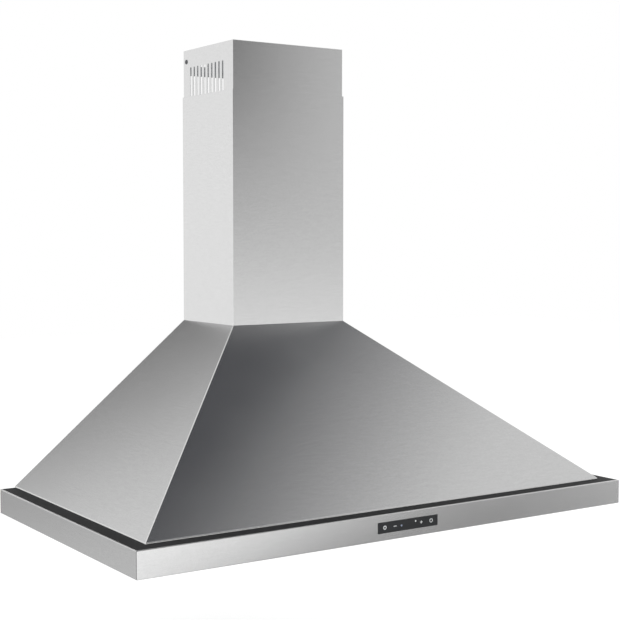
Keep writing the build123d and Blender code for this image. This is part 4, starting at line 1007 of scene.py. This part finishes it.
def makeWorld(s):
    world = bpy.data.worlds.new("studioWorld")
    bpy.context.scene.world = world
    tree = emptyTree(world)
    dim = addNode(tree, "ShaderNodeBackground", values={"Color": white, "Strength": s["skyLevel"]})
    bright = addNode(
        tree, "ShaderNodeBackground", values={"Color": white, "Strength": s["seenSkyLevel"]}
    )
    mixed = whiteFor(tree, dim, bright)
    addNode(tree, "ShaderNodeOutputWorld", links={"Surface": mixed.outputs[0]})


def makeSoftBox(name, s, aim):
    data = bpy.data.lights.new(name, "AREA")
    data.shape = "SQUARE"
    data.size = s["size"]
    data.energy = s["power"]
    lamp = bpy.data.objects.new(name, data)
    lamp.location = s["place"]
    lamp.visible_glossy = False
    lamp.rotation_euler = (Vector(aim) - Vector(s["place"])).to_track_quat("-Z", "Y").to_euler()
    bpy.context.scene.collection.objects.link(lamp)


def makeFlag(name, s):
    deselectAll()
    angles = [math.radians(angle) for angle in s["turn"]]
    bpy.ops.mesh.primitive_plane_add(size=1, location=s["place"], rotation=angles)
    flag = nameNew(name)
    flag.scale = (*s["size"], 1)
    flag.visible_camera = False
    flag.visible_diffuse = False
    flag.visible_shadow = False
    flag.visible_transmission = False
    material = bpy.data.materials.new(name + "Cloth")
    tree = emptyTree(material)
    clear = addNode(tree, "ShaderNodeBsdfTransparent")
    place = addNode(tree, "ShaderNodeTexCoord")
    parts = addNode(tree, "ShaderNodeSeparateXYZ", links={"Vector": place.outputs["UV"]})
    tone = mixTones(tree, s["tones"], parts.outputs[0], *s["ramp"])
    cloth = addNode(tree, "ShaderNodeEmission", links={"Color": tone})
    # each border: the axis across it, where it starts, and which way it fades in
    borders = ((0, 0.0, 1), (0, 1.0, -1), (1, 0.0, 1), (1, 1.0, -1))
    cover = None
    for (axis, start, way), reach in zip(borders, s["fade"]):
        fade = addNode(
            tree, "ShaderNodeMapRange", settings={"interpolation_type": "SMOOTHSTEP"},
            values={"From Min": start, "From Max": start + way * reach},
            links={"Value": parts.outputs[axis]},
        )
        if cover is None:
            cover = fade.outputs[0]
        else:
            cover = addNode(
                tree, "ShaderNodeMath", settings={"operation": "MULTIPLY"},
                links={0: cover, 1: fade.outputs[0]},
            ).outputs[0]
    mixed = addNode(
        tree, "ShaderNodeMixShader", links={0: cover, 1: clear.outputs[0], 2: cloth.outputs[0]}
    )
    addNode(tree, "ShaderNodeOutputMaterial", links={"Surface": mixed.outputs[0]})
    flag.data.materials.append(material)


def makeFloor(s):
    # the paper shows from above only
    deselectAll()
    bpy.ops.mesh.primitive_plane_add(size=s["floorSize"], location=(0, 0, s["floorHeight"]))
    floor = nameNew("paleFloor")
    material = bpy.data.materials.new("palePaper")
    tree = emptyTree(material)
    paper = addNode(tree, "ShaderNodeBsdfDiffuse", values={"Color": linearColour(s["paper"])})
    glow = addNode(tree, "ShaderNodeEmission", values={"Strength": s["paperGlow"]})
    lit = addNode(tree, "ShaderNodeAddShader", links={0: paper.outputs[0], 1: glow.outputs[0]})
    seen = whiteFor(tree, paper, lit)
    clear = addNode(tree, "ShaderNodeBsdfTransparent")
    side = addNode(tree, "ShaderNodeNewGeometry")
    mixed = addNode(
        tree, "ShaderNodeMixShader",
        links={0: side.outputs["Backfacing"], 1: seen.outputs[0], 2: clear.outputs[0]},
    )
    addNode(tree, "ShaderNodeOutputMaterial", links={"Surface": mixed.outputs[0]})
    floor.data.materials.append(material)


makeWorld(studio)
for softBoxName, softBoxSettings in softBoxes.items():
    makeSoftBox(softBoxName, softBoxSettings, studio["aim"])
for flagName, flagSettings in flags.items():
    makeFlag(flagName, flagSettings)
makeFloor(studio)
print("studio ready")
